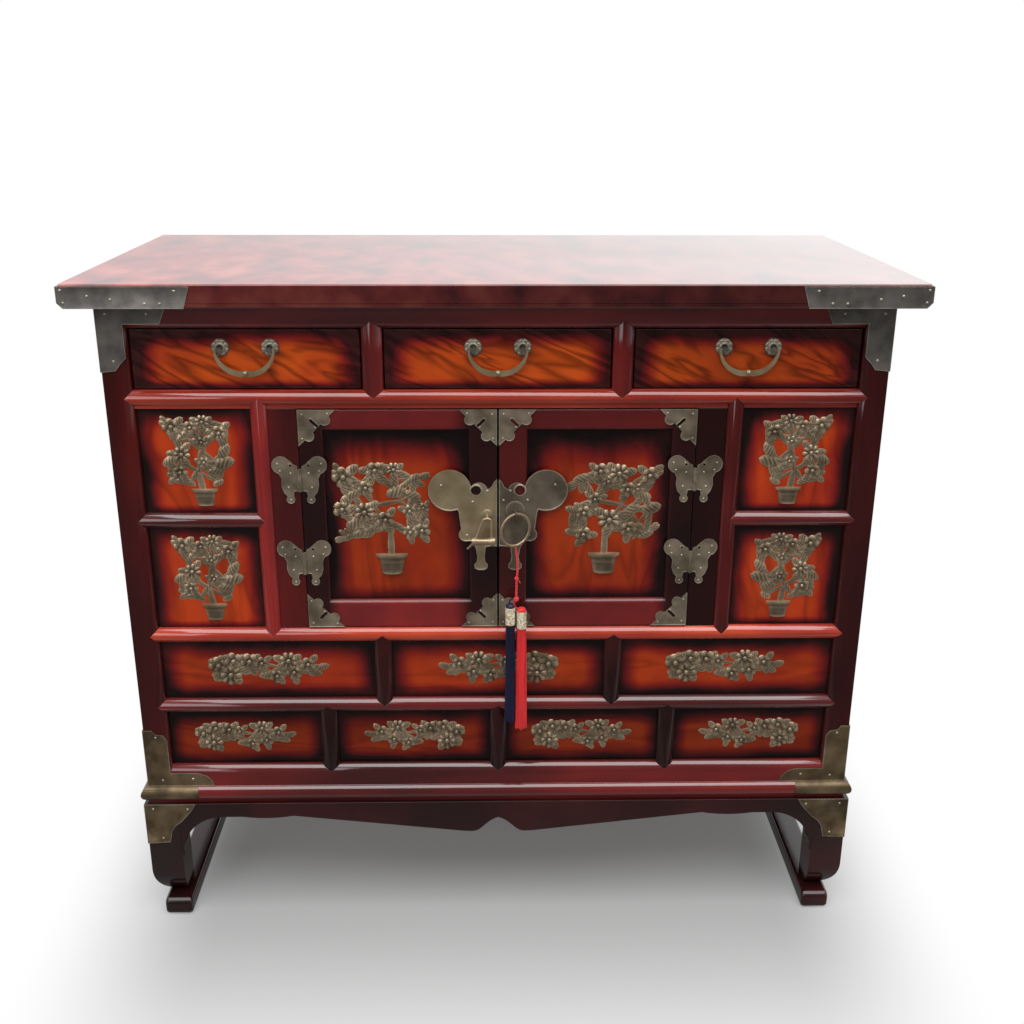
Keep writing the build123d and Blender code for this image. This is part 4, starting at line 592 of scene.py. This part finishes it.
grey_brass = aged_brass("grey_brass", (0.08, 0.074, 0.068), (0.19, 0.172, 0.155))
warm_brass = aged_brass("warm_brass", (0.08, 0.052, 0.025), (0.22, 0.155, 0.085))
hinge_brass = aged_brass("hinge_brass", (0.14, 0.11, 0.075), (0.36, 0.29, 0.21), roughness=0.36)
nail_brass = aged_brass("nail_brass", (0.30, 0.27, 0.21), (0.55, 0.50, 0.40), roughness=0.3)
worn_brass = aged_brass("worn_brass", (0.26, 0.22, 0.16), (0.46, 0.41, 0.32), roughness=0.3)
for name in ("top_corner_plates", "head_brackets"):
    plate(name, grey_brass, worn_brass)
for name in ("foot_brackets", "leg_plates"):
    plate(name, warm_brass, worn_brass)
nails("corner_nails", "case", nail_brass, both_sides(
    (0.519, TOP_Y, 0.904), (0.517, TOP_Y, 0.889), (0.488, TOP_Y, 0.897), (0.461, TOP_Y, 0.893),
    (0.421, TOP_Y, 0.888), (0.403, TOP_Y, 0.888), (0.385, TOP_Y, 0.903),
    (0.478, FRONT_Y, 0.871), (0.428, FRONT_Y, 0.871), (0.474, FRONT_Y, 0.812),
    (0.474, FRONT_Y, 0.283), (0.428, FRONT_Y, 0.217), (0.470, FRONT_Y, 0.215),
    (0.486, STAND_Y, 0.173), (0.438, STAND_Y, 0.172), (0.476, STAND_Y, 0.125)))

# ---- Door brackets ---------------------------------------------------
# Pierced and scalloped triangles of brass, nailed over the corners of the door frames.  Their
# nails are set out from the corner of the frame.
DOOR_BRASS_Y = -0.2145
BRACKET_NAIL = 0.0014
BRACKET_NAILS = ((0.006, 0.006), (0.038, 0.005), (0.005, 0.038), (0.022, 0.023))

for side, way in (("left", -1), ("right", 1)):
    name = f"door_{side}_brackets"
    plate(name, hinge_brass, worn_brass)
    low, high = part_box(name)
    inner, outer = (low.x, high.x) if way > 0 else (high.x, low.x)
    corners = [(inner, way, low.z, 1), (inner, way, high.z, -1),
               (outer, -way, low.z, 1), (outer, -way, high.z, -1)]
    nails(f"door_{side}_bracket_nails", f"door_{side}", nail_brass,
          [(x + across * a, DOOR_BRASS_Y, z + up * b) for x, across, z, up in corners
           for a, b in BRACKET_NAILS], radius=BRACKET_NAIL)

# ---- Hinges ----------------------------------------------------------
# Butterfly hinges of thick brass sheet, engraved along their outlines and nailed at the wings, the
# body and the feet.  The nails are set out from the pin.
PIN_X, HINGE_LEVELS = 0.2545, (0.5405, 0.6555)
HINGE_NAIL = 0.0015
HINGE_NAILS = ((0.0250, 0.0120), (0.0115, 0.0090), (0.0150, -0.0100), (0.0130, -0.0270),
               (0.0280, 0.0220))

plate("fixed_hinge_leaves", hinge_brass, worn_brass)
nails("hinge_nails", "case", nail_brass, both_sides(*[
    (PIN_X + out, DOOR_BRASS_Y, level + up) for level in HINGE_LEVELS for out, up in HINGE_NAILS]),
    radius=HINGE_NAIL)
for side, way in (("left", -1), ("right", 1)):
    plate(f"door_{side}_hinge_leaves", hinge_brass, worn_brass)
    nails(f"door_{side}_hinge_nails", f"door_{side}", nail_brass, [
        (way * (PIN_X - out), DOOR_BRASS_Y, level + up)
        for level in HINGE_LEVELS for out, up in HINGE_NAILS], radius=HINGE_NAIL)

# ---- Lock plate ------------------------------------------------------
# A butterfly cut from heavy brass and parted between the doors, with a rolled rim over each of its
# openings; the left half is lighter and warmer than the right one, which is browner and darker.
LOCK_NAILS = {"left": ((-0.0734, 0.6476), (-0.0330, 0.6250), (-0.0138, 0.6400),
                       (-0.0406, 0.5786)),
              "right": ((0.0072, 0.6271), (0.0162, 0.6400), (0.0385, 0.6275), (0.0741, 0.6483),
                        (0.0407, 0.5789))}
CURL_X, CURL_Z, CURL_RADIUS, CURL_THICKNESS = 0.0285, 0.6405, 0.0076, 0.0012
CURL_START, CURL_SWEEP = radians(30), radians(-240)


def bent_wire(bm, radius, sides, start, middle, sweep, steps):
    """Round wire from a start, with its closed ends, bent about the depth line of its middle."""
    ring = bmesh.ops.create_circle(bm, cap_ends=True, segments=sides, radius=radius, matrix=start)
    end = ring["verts"][0].link_faces[0]
    bmesh.ops.spin(bm, geom=[*end.verts, *end.edges, end], cent=middle, axis=(0, 1, 0),
                   angle=sweep, steps=steps)


olive_brass = aged_brass("olive_brass", (0.24, 0.18, 0.10), (0.42, 0.33, 0.20), roughness=0.34)
brown_brass = aged_brass("brown_brass", (0.11, 0.085, 0.06), (0.25, 0.20, 0.15), roughness=0.34)
for side, way, brass in (("left", -1, olive_brass), ("right", 1, brown_brass)):
    plate(f"door_{side}_lock_plate", brass, worn_brass, rim=0.0012, depth=0.0004)
    nails(f"door_{side}_lock_nails", f"door_{side}", nail_brass,
          [(x, DOOR_BRASS_Y, z) for x, z in LOCK_NAILS[side]])
    opening = Vector((way * CURL_X, DOOR_BRASS_Y, CURL_Z))
    start = (Matrix.Translation(opening) @ Matrix.Rotation(CURL_START, 4, "Y")
             @ Matrix.Translation((CURL_RADIUS, 0, 0)))
    bm = bmesh.new()
    bent_wire(bm, CURL_THICKNESS, 10, start, opening, CURL_SWEEP, 28)
    add_piece(f"door_{side}_lock_curl", bm, f"door_{side}", worn_brass,
              sharp_angle=60)

# ---- Ring and padlock ------------------------------------------------
# Ring of drawn brass wire that hangs in an eye on the right door, and a spool padlock turned from
# solid brass on the left one, both bright from handling.
bright_brass = aged_brass("bright_brass", (0.26, 0.18, 0.11), (0.50, 0.38, 0.25), roughness=0.28)
finished("ring_pull", bright_brass, edge=0.0)
finished("padlock", bright_brass, edge=0.0004)

# ---- Drawer handles --------------------------------------------------
# Cast bails that turn in studs, over pressed eight-petalled roses with a boss round each stud.
# The rim of a rose is drawn in and pressed down between its petals.
DRAWER_MIDDLES = {"left": -0.313, "middle": 0.0, "right": 0.313}
ROSE_Y, ROSE_Z, STUD_SPREAD = -0.2122, 0.828, 0.03075
ROSE_SECTION = ((0.0036, 0.0), (0.0036, 0.0030), (0.0050, 0.0034), (0.0062, 0.0024),
                (0.0068, 0.0014), (0.0082, 0.0024), (0.0096, 0.0022), (0.0108, 0.0010),
                (0.0109, 0.0))
BOSS_EDGE = 0.0065              # where the boss ends and the petals start
PETAL_DRAW, PETAL_PRESS = 0.14, 0.45


def rose_petals(name, body, middle, finish):
    """Petals and boss of a drawer's two roses, which stand on their discs."""
    bm = bmesh.new()
    for side in (-1, 1):
        known = len(bm.verts)
        centre = Vector((middle + side * STUD_SPREAD, ROSE_Y, ROSE_Z))
        section = [bm.verts.new(centre + Vector((out, -up, 0))) for out, up in ROSE_SECTION]
        edges = [bm.edges.new(pair) for pair in zip(section, section[1:] + section[:1])]
        bmesh.ops.spin(bm, geom=section + edges, cent=centre, axis=(0, 1, 0), angle=2 * pi,
                       steps=64, use_merge=True)
        bm.verts.ensure_lookup_table()
        for vert in bm.verts[known:]:
            away = vert.co - centre
            if hypot(away.x, away.z) > BOSS_EDGE:
                notch = (1 - abs(sin(4 * atan2(away.z, away.x)))) ** 2
                vert.co.x -= PETAL_DRAW * notch * away.x
                vert.co.z -= PETAL_DRAW * notch * away.z
                vert.co.y -= PETAL_PRESS * notch * away.y
    bmesh.ops.remove_doubles(bm, verts=bm.verts, dist=1e-6)
    add_piece(name, bm, body, finish)


for name, middle in DRAWER_MIDDLES.items():
    finished(f"drawer_{name}_roses", grey_brass, edge=0.0003)
    rose_petals(f"drawer_{name}_petals", f"drawer_{name}", middle, worn_brass)
    finished(f"drawer_{name}_bail", olive_brass, edge=0.0009)

# ---- Ornaments -------------------------------------------------------
# Flowering branches, birds and pots pressed from thin brass and pinned to the panels.  Petals
# stand up round a raised heart, and leaves and feathers fall away from their midribs.
PRESSING = 0.6                  # height of the pressing against the size of its outline
BACK = -0.1                     # how far a motif of half-length 1 reaches into its panel
PETAL_START = 0.3
POT_HALF_HEIGHT, POT_FOOT, POT_FLARE, POT_LIP = 0.72, 0.68, 0.12, 0.16
FLOWER_SECTION = ((0, 0.50), (0.13, 0.48), (0.22, 0.36), (0.28, 0.16), (0.46, 0.34), (0.72, 0.36),
                  (0.92, 0.22), (1, 0.05), (1, BACK), (0, BACK))


def template(bm, name):
    """Mesh of one motif, kept to be pressed in many places."""
    bmesh.ops.recalc_face_normals(bm, faces=bm.faces)
    mesh = bpy.data.meshes.new(name)
    bm.to_mesh(mesh)
    bm.free()
    return mesh


def pressed_flower(name, petals):
    """Turned form of radius 1 whose rim is drawn in between its petals."""
    bm = bmesh.new()
    section = [bm.verts.new((out, 0, up)) for out, up in FLOWER_SECTION]
    edges = [bm.edges.new(pair) for pair in zip(section, section[1:])]
    bmesh.ops.spin(bm, geom=section + edges, cent=(0, 0, 0), axis=(0, 0, 1), angle=2 * pi,
                   steps=4 * petals, use_merge=True)
    bmesh.ops.remove_doubles(bm, verts=bm.verts, dist=1e-4)
    for vert in bm.verts:
        out, angle = hypot(vert.co.x, vert.co.y), atan2(vert.co.y, vert.co.x)
        if out > PETAL_START:
            notch = (1 - abs(sin(petals * angle / 2))) ** 1.4
            vert.co.xy *= 1 - 0.26 * notch * (out - PETAL_START) / (1 - PETAL_START)
            if vert.co.z > 0.1:
                vert.co.z -= 0.24 * notch
    return template(bm, name)


def backed(bm):
    """Turns the rim of a motif down into its panel, and closes it behind."""
    skirt = bmesh.ops.extrude_edge_only(bm, edges=[edge for edge in bm.edges if edge.is_boundary])
    for vert in skirt["geom"]:
        if isinstance(vert, bmesh.types.BMVert):
            vert.co.z = BACK
    bmesh.ops.holes_fill(bm, edges=[edge for edge in bm.edges if edge.is_boundary], sides=0)


def pressed_leaf(name, width, ribs):
    """Pointed leaf of half-length 1 with a midrib and slanting side ribs."""
    bm = bmesh.new()
    bmesh.ops.create_grid(bm, x_segments=10, y_segments=4, size=1)
    for vert in bm.verts:
        along, across = vert.co.x, vert.co.y
        swell = max(0, 1 - along ** 2) ** 0.6
        ridge = 0.30 * (1 - 0.75 * abs(across)) * swell
        rib = 0.05 * cos(ribs * (along - 0.35 * abs(across))) * swell
        vert.co = (along, across * width * swell, ridge + rib)
    bmesh.ops.remove_doubles(bm, verts=bm.verts, dist=1e-4)
    backed(bm)
    return template(bm, name)


def pressed_pot(name):
    """Round pot seen from the front, with a thick lip and two bands."""
    bm = bmesh.new()
    bmesh.ops.create_grid(bm, x_segments=10, y_segments=12, size=1)
    for vert in bm.verts:
        across, up = vert.co.x, vert.co.y
        lip = POT_LIP if up > 0.6 else 0.0
        band = 0.07 if abs(up - 0.17) < 0.1 or up < -0.8 else 0.0
        swell = 0.36 * max(0, 1 - across ** 2) ** 0.5
        vert.co = (across * (POT_FOOT + POT_FLARE * (up + 1) + lip), up * POT_HALF_HEIGHT,
                   swell + (band + lip * 0.6) * (1 - across ** 4))
    backed(bm)
    return template(bm, name)


rose_flower = pressed_flower("rose_flower", 5)
daisy_flower = pressed_flower("daisy_flower", 8)
broad_leaf = pressed_leaf("broad_leaf", 0.46, 16)
twig = pressed_leaf("twig", 0.5, 0)
clay_pot = pressed_pot("clay_pot")

# Parts of a bird: motif, place along and across its body, size and turn
BIRD = ((broad_leaf, 0.0, 0.0, 0.72, 8), (broad_leaf, -0.85, 0.12, 0.55, 178),
        (broad_leaf, -0.9, 0.28, 0.45, 165), (broad_leaf, -0.3, 0.5, 0.52, 118),
        (broad_leaf, 0.05, 0.42, 0.45, 95), (rose_flower, 0.72, 0.24, 0.24, 0),
        (broad_leaf, 1.0, 0.18, 0.2, -18))
STEM_WIDTH, TWIG_WIDTH, POT_STEM_WIDTH = 0.006, 0.0045, 0.009
SHORTEST_TWIG = 0.002
SPREAD = 1.25                   # size of a pressed motif against its size in the tables


def press(bm, motif, middle, size, turn, flip):
    """Presses a motif at its place on a panel; its size is its half-length, or (x, y) ones."""
    known = len(bm.verts)
    bm.from_mesh(motif)
    bm.verts.ensure_lookup_table()
    along, across = size if isinstance(size, tuple) else (size, size)
    stand = Matrix(((flip, 0, 0, middle.x), (0, 0, -1, middle.y), (0, 1, 0, middle.z),
                    (0, 0, 0, 1)))
    shape = (stand @ Matrix.Rotation(radians(turn), 4, "Z")
             @ Matrix.Diagonal((along, across, PRESSING * across, 1)))
    bmesh.ops.transform(bm, matrix=shape, verts=bm.verts[known:])


def nearest(place, others):
    """The one of the others that is nearest to a place."""
    return min(others, key=lambda other: (other - place).length)


def ornament(bm, middle, foot, face_y, width, height, stem, motifs, flip, pot=None):
    """One ornament: its stem from joint to joint, its motifs, and the pot that it grows in."""
    def spot(across, up):
        return Vector((middle + flip * (across - 0.5) * width, face_y, foot + up * height))

    def inside(place, reach):
        across = max(reach - width / 2, min(width / 2 - reach, place.x - middle))
        up = max(reach, min(height - reach, place.z - foot))
        return Vector((middle + across, face_y, foot + up))

    def lean_of(run):
        return degrees(atan2(run.z, flip * run.x))

    def branch(start, end, thickness):
        run = end - start
        if run.length > SHORTEST_TWIG:
            press(bm, twig, (start + end) / 2, (run.length * 0.62, thickness), lean_of(run), flip)

    def foliage(place, reach, turn):
        for lean in (turn + 40, turn + 160, turn + 280):
            tip = Vector((flip * cos(radians(lean)), 0, sin(radians(lean)))) * reach
            press(bm, broad_leaf, inside(place + tip, 0.8 * reach), (0.8 * reach, reach), lean,
                  flip)

    def bird(place, size, turn):
        for part, along, over, share, lean in BIRD:
            offset = Vector((along, over, 0)) * size
            offset.rotate(Matrix.Rotation(radians(turn), 3, "Z"))
            press(bm, part, place + Vector((flip * offset.x, 0, offset.y)), share * size,
                  turn + lean, flip)

    joints = [spot(*place) for place in stem]
    for number, joint in enumerate(joints[1:], 1):
        branch(nearest(joint, joints[:number]), joint, STEM_WIDTH)
    places = [spot(across, up) for motif, across, up, size, turn in motifs]
    for place in places:
        for other in sorted(places, key=lambda other: (other - place).length)[1:4]:
            run = other - place
            press(bm, broad_leaf, (place + other) / 2, (0.5 * run.length, 0.003 + 0.045 * height),
                  lean_of(run), flip)
    for motif, across, up, size, turn in motifs:
        place = spot(across, up)
        branch(nearest(place, joints), place, TWIG_WIDTH)
        reach = SPREAD * size * width
        if motif is BIRD:
            bird(place, size * width, turn)
        elif motif is broad_leaf:
            press(bm, motif, inside(place, 0.9 * reach), (reach, 1.2 * reach), turn, flip)
        else:
            foliage(place, 0.95 * reach, turn)
            press(bm, motif, inside(place, 0.97 * reach), reach, turn, flip)
    if pot:
        across, up, size = pot
        base = spot(across, up)
        branch(base, joints[0], POT_STEM_WIDTH)
        press(bm, clay_pot, base, size * width, 0, flip)


relief_brass_painted_glints = aged_brass("relief_brass_painted_glints", (0.12, 0.09, 0.055), (0.29, 0.22, 0.145), roughness=0.28)
# Darker in the hollows of the relief, and made up to 2.2 times lighter on its sharpest crests as
# painted glints.
darker_at(relief_brass_painted_glints, "Pointiness", None, (0.42, 0.4), (0.49, 0.75), (0.51, 0.9), (0.57, 2.2))
RELIEF_SHARP_ANGLE = 50

# Branches of the doors: motif, place across and up, size and turn, as shares of the ornament
DOOR_STEM = ((0.58, 0.4), (0.42, 0.62), (0.7, 0.66), (0.3, 0.82), (0.6, 0.84), (0.84, 0.5),
             (0.24, 0.46))
LEFT_DOOR_BRANCH = (
    (rose_flower, 0.12, 0.865, 0.095, 0), (broad_leaf, 0.06, 0.945, 0.05, 120),
    (rose_flower, 0.44, 0.925, 0.08, 20), (daisy_flower, 0.627, 0.93, 0.062, 0),
    (BIRD, 0.82, 0.85, 0.13, 205), (rose_flower, 0.34, 0.77, 0.068, 10),
    (broad_leaf, 0.22, 0.72, 0.075, 200), (broad_leaf, 0.65, 0.74, 0.09, 20),
    (broad_leaf, 0.81, 0.71, 0.075, -20), (rose_flower, 0.093, 0.585, 0.08, 30),
    (daisy_flower, 0.32, 0.56, 0.088, 0), (rose_flower, 0.53, 0.49, 0.08, 15),
    (rose_flower, 0.78, 0.567, 0.062, 0), (rose_flower, 0.92, 0.595, 0.05, 10),
    (broad_leaf, 0.22, 0.47, 0.085, 210), (broad_leaf, 0.43, 0.42, 0.065, -10),
    (rose_flower, 0.78, 0.38, 0.062, 0), (rose_flower, 0.9, 0.395, 0.072, 20),
    (BIRD, 0.16, 0.35, 0.115, 30), (broad_leaf, 0.34, 0.37, 0.065, 190))
RIGHT_DOOR_BRANCH = (
    (BIRD, 0.82, 0.85, 0.15, 155), (rose_flower, 0.64, 0.91, 0.072, 0),
    (rose_flower, 0.56, 0.82, 0.055, 0), (daisy_flower, 0.45, 0.89, 0.087, 10),
    (rose_flower, 0.14, 0.87, 0.078, 0), (broad_leaf, 0.06, 0.93, 0.055, 150),
    (rose_flower, 0.36, 0.75, 0.07, 20), (rose_flower, 0.26, 0.755, 0.05, 0),
    (broad_leaf, 0.2, 0.7, 0.07, 200), (rose_flower, 0.69, 0.665, 0.064, 0),
    (rose_flower, 0.8, 0.545, 0.07, 10), (broad_leaf, 0.92, 0.575, 0.06, 20),
    (daisy_flower, 0.54, 0.485, 0.097, 0), (broad_leaf, 0.32, 0.575, 0.085, 140),
    (broad_leaf, 0.12, 0.59, 0.09, 165), (rose_flower, 0.34, 0.4, 0.074, 0),
    (BIRD, 0.16, 0.36, 0.125, 330), (rose_flower, 0.8, 0.355, 0.072, 20),
    (broad_leaf, 0.92, 0.38, 0.06, 10), (broad_leaf, 0.46, 0.41, 0.055, 180))
DOOR_PANEL_Y = -0.205
DOOR_ORNAMENT = {"foot": 0.5195, "face_y": DOOR_PANEL_Y, "width": 0.129, "height": 0.158,
                 "stem": DOOR_STEM, "pot": (0.585, 0.105, 0.152)}
DOOR_MIDDLE = 0.15145
for side, way, motifs in (("left", -1, LEFT_DOOR_BRANCH), ("right", 1, RIGHT_DOOR_BRANCH)):
    bm = bmesh.new()
    ornament(bm, way * DOOR_MIDDLE, motifs=motifs, flip=-way, **DOOR_ORNAMENT)
    add_piece(f"door_{side}_flowers", bm, f"door_{side}", relief_brass_painted_glints,
              sharp_angle=RELIEF_SHARP_ANGLE, node=f"door_{side}_ornament")

# Branches of the fixed panels
BAY_STEM = ((0.5, 0.38), (0.55, 0.62), (0.4, 0.74), (0.72, 0.5), (0.26, 0.5))
BAY_BRANCH = (
    (rose_flower, 0.17, 0.87, 0.107, 0), (broad_leaf, 0.08, 0.945, 0.06, 130),
    (rose_flower, 0.43, 0.86, 0.082, 20), (daisy_flower, 0.6, 0.93, 0.087, 0),
    (rose_flower, 0.82, 0.8, 0.097, 10), (broad_leaf, 0.93, 0.88, 0.06, 50),
    (rose_flower, 0.57, 0.7, 0.067, 0), (broad_leaf, 0.26, 0.72, 0.085, 240),
    (daisy_flower, 0.28, 0.57, 0.102, 15), (broad_leaf, 0.1, 0.5, 0.1, 215),
    (broad_leaf, 0.87, 0.6, 0.11, 60), (broad_leaf, 0.86, 0.48, 0.13, 15),
    (broad_leaf, 0.73, 0.39, 0.1, 0), (rose_flower, 0.58, 0.48, 0.067, 0),
    (rose_flower, 0.24, 0.37, 0.092, 30), (broad_leaf, 0.13, 0.29, 0.07, 225),
    (broad_leaf, 0.37, 0.26, 0.07, 150), (broad_leaf, 0.76, 0.26, 0.07, 30))
SPRAY_STEM = ((0.16, 0.45), (0.34, 0.55), (0.5, 0.4), (0.66, 0.5), (0.84, 0.5))
SPRAY = (
    (rose_flower, 0.07, 0.6, 0.07, 0), (broad_leaf, 0.09, 0.26, 0.05, 210),
    (daisy_flower, 0.18, 0.32, 0.075, 20), (rose_flower, 0.21, 0.76, 0.065, 0),
    (broad_leaf, 0.29, 0.46, 0.05, -30), (rose_flower, 0.34, 0.72, 0.065, 10),
    (rose_flower, 0.44, 0.66, 0.05, 0), (broad_leaf, 0.47, 0.32, 0.05, 10),
    (rose_flower, 0.56, 0.27, 0.052, 20), (broad_leaf, 0.59, 0.55, 0.045, 60),
    (daisy_flower, 0.66, 0.76, 0.065, 0), (rose_flower, 0.7, 0.38, 0.055, 0),
    (rose_flower, 0.82, 0.62, 0.055, 10), (broad_leaf, 0.88, 0.4, 0.045, -25),
    (broad_leaf, 0.94, 0.56, 0.045, 15))
PANEL_Y = -0.208
BAY = {"width": 0.092, "height": 0.122, "stem": BAY_STEM, "motifs": BAY_BRANCH,
       "pot": (0.56, 0.1, 0.17)}
FIRST_ROW = {"foot": 0.3575, "width": 0.166, "height": 0.05, "stem": SPRAY_STEM, "motifs": SPRAY}
SECOND_ROW = {"foot": 0.2525, "width": 0.142, "height": 0.05, "stem": SPRAY_STEM, "motifs": SPRAY}
bm = bmesh.new()
for middle, flip in ((-0.3845, 1), (0.3845, -1)):
    for foot in (0.457, 0.619):
        ornament(bm, middle, foot=foot, face_y=PANEL_Y, flip=flip, **BAY)
for middle, flip in ((-0.31233, 1), (0, -1), (0.31233, 1)):
    ornament(bm, middle, face_y=PANEL_Y, flip=flip, **FIRST_ROW)
for middle, flip in ((-0.35138, 1), (-0.11713, -1), (0.11713, 1), (0.35138, -1)):
    ornament(bm, middle, face_y=PANEL_Y, flip=flip, **SECOND_ROW)
add_piece("case_flowers", bm, "case", relief_brass_painted_glints,
          sharp_angle=RELIEF_SHARP_ANGLE, node="case_ornaments")

# ---- Tassels ---------------------------------------------------------
# Each is a bundle of silk threads under a sleeve wound with gilt thread and a silk cap, looped to
# the knot at the end of the cord; a second small knot holds the doubled cord together.
HUNG_Y = -0.2305
KNOT, KNOT_SIZE = Vector((0.024, HUNG_Y, 0.4944)), 0.0036
SMALL_KNOT, SMALL_KNOT_SIZE = Vector((0.0243, HUNG_Y, 0.5240)), 0.0028
KNOT_TAIL, TAIL_LEAN = Vector((0.0255, HUNG_Y, 0.5235)), radians(150)
TAIL_RUN = (0.0035, 0, -0.006)
SLEEVE_SIZE, SLEEVE_LENGTH, WINDINGS = 0.0066, 0.025, 12
CAP_HEIGHT = 0.005
CAP_SECTION = ((0, 0), (0.25, 0.0002), (0.7, 0.0012), (0.98, CAP_HEIGHT),
               (0.9, CAP_HEIGHT + 0.001), (0, CAP_HEIGHT + 0.001))     # size, depth below top
SLEEVE_OVERLAP = 0.001
THREAD = 0.0011
HEM_ROWS = 10
TASSELS = (("blue", 0.0160, 0.4880, 0.312, 0.0066, (0.002, 0.002, 0.016),
            (0.008, 0.010, 0.050), 0.02),
           ("red", 0.0312, 0.4825, 0.302, 0.0077, (0.50, 0.008, 0.010), (0.86, 0.018, 0.022),
            0.15))              # colour, x, top, end, hem, dark and light thread, sheen


def turned(bm, x, section, steps):
    """Closed form turned about the upright line through x; its section is (radius, height)."""
    verts = [bm.verts.new((x + out, HUNG_Y, up)) for out, up in section]
    edges = [bm.edges.new(pair) for pair in zip(verts, verts[1:])]
    bmesh.ops.spin(bm, geom=verts + edges, cent=(x, HUNG_Y, 0), axis=(0, 0, 1), angle=2 * pi,
                   steps=steps, use_merge=True)
    bmesh.ops.remove_doubles(bm, verts=bm.verts, dist=1e-6)


def hanging_silk(name, dark, light, sheen):
    """Bundle of straight silk threads, streaked along their length."""
    material, tree, shader = new_finish(name)
    along = mapping(tree, on_piece(tree), Scale=(900, 900, 9))
    streaks = noise(tree, along, 1.0, Detail=3.0)
    feed(tree, shader, {
        "Base Color": ramp(tree, streaks, (0.35, dark), (0.65, light)),
        "Normal": relief(tree, streaks, 0.7, 0.0005), "Roughness": 0.5, "Sheen Weight": sheen})
    return material


def silk_piece(name, bm, finish, node=None):
    """Piece of a tassel, which hangs from the ring with the cord."""
    return add_piece(name, bm, "tassels", finish, sharp_angle=60, node=node)


gilt_thread, tree, shader = new_finish("gilt_thread")
winding = noise(tree, on_piece(tree), 330.0)
feed(tree, shader, {
    "Base Color": ramp(tree, winding, (0.42, (0.60, 0.44, 0.20)), (0.58, (0.92, 0.89, 0.80))),
    "Metallic": 0.2, "Roughness": 0.4})

for colour, x, top, end, hem, dark, light, sheen in TASSELS:
    slot = f"{colour}_silk"
    threads = hanging_silk(slot, dark, light, sheen)
    sleeve_top = top - CAP_HEIGHT
    sleeve_end = sleeve_top - SLEEVE_LENGTH
    neck = 0.82 * SLEEVE_SIZE
    bm = bmesh.new()
    rows = [(neck + (hem - neck) * (step / HEM_ROWS) ** 0.7,
             sleeve_end + SLEEVE_OVERLAP - (sleeve_end - end) * step / HEM_ROWS)
            for step in range(HEM_ROWS + 1)]
    turned(bm, x, [(0, sleeve_end + SLEEVE_OVERLAP), *rows, (0, end + 0.004)], 96)
    for vert in bm.verts:
        across, deep = vert.co.x - x, vert.co.y - HUNG_Y
        angle, drop = atan2(deep, across), (sleeve_end - vert.co.z) / (sleeve_end - end)
        lock = 0.07 * sin(16 * angle + 0.8 * sin(3 * drop)) + 0.045 * sin(29 * angle + 2 * drop)
        vert.co.x = x + across * (1 + lock)
        vert.co.y = HUNG_Y + deep * (1 + lock)
        if drop > 0.99 and hypot(across, deep) > 0.001:
            vert.co.z += 0.0016 * sin(5 * angle) + 0.001 * sin(13 * angle)
    silk_piece(f"{colour}_threads", bm, threads, f"tassel_{colour}")

    bm = bmesh.new()
    wound = []
    for number in range(WINDINGS):
        level = sleeve_top - SLEEVE_LENGTH * number / WINDINGS
        wound += [(0.95 * SLEEVE_SIZE, level),
                  (1.02 * SLEEVE_SIZE, level - SLEEVE_LENGTH / (2 * WINDINGS))]
    turned(bm, x, [(0, sleeve_top), *wound, (0.95 * SLEEVE_SIZE, sleeve_end), (0, sleeve_end)], 40)
    silk_piece(f"{colour}_sleeve", bm, gilt_thread)

    bm = bmesh.new()
    turned(bm, x, [(out * SLEEVE_SIZE, top - down) for out, down in CAP_SECTION], 40)
    cap_top = Vector((x, HUNG_Y, top - THREAD))
    foot = KNOT + Vector((0.0004 if colour == "red" else -0.0004, 0, -0.0015))
    run = foot - cap_top
    start = (Matrix.Translation(cap_top)
             @ Matrix.Rotation(atan2(run.x, run.z) + pi / 2, 4, "Y"))
    bent_wire(bm, THREAD, 10, start, (cap_top + foot) / 2, pi, 12)
    silk_piece(f"{colour}_cap", bm, threads)

bm = bmesh.new()
for middle, size in ((KNOT, KNOT_SIZE), (SMALL_KNOT, SMALL_KNOT_SIZE)):
    seat = Matrix.Translation(middle) @ Matrix.Diagonal((1, 0.9, 1.0, 1))
    bmesh.ops.create_uvsphere(bm, u_segments=24, v_segments=14, radius=size, matrix=seat)
for vert in bm.verts:
    vert.co.x += 0.0003 * sin(4200 * vert.co.z + 1500 * vert.co.x)
tail = bmesh.ops.create_circle(
    bm, cap_ends=True, segments=8, radius=0.8 * THREAD,
    matrix=Matrix.Translation(KNOT_TAIL) @ Matrix.Rotation(TAIL_LEAN, 4, "Y"))
drawn = bmesh.ops.extrude_face_region(bm, geom=[tail["verts"][0].link_faces[0]])
bmesh.ops.translate(bm, vec=TAIL_RUN,
                    verts=[part for part in drawn["geom"] if isinstance(part, bmesh.types.BMVert)])
silk_piece("cord_knots", bm, red_cord)
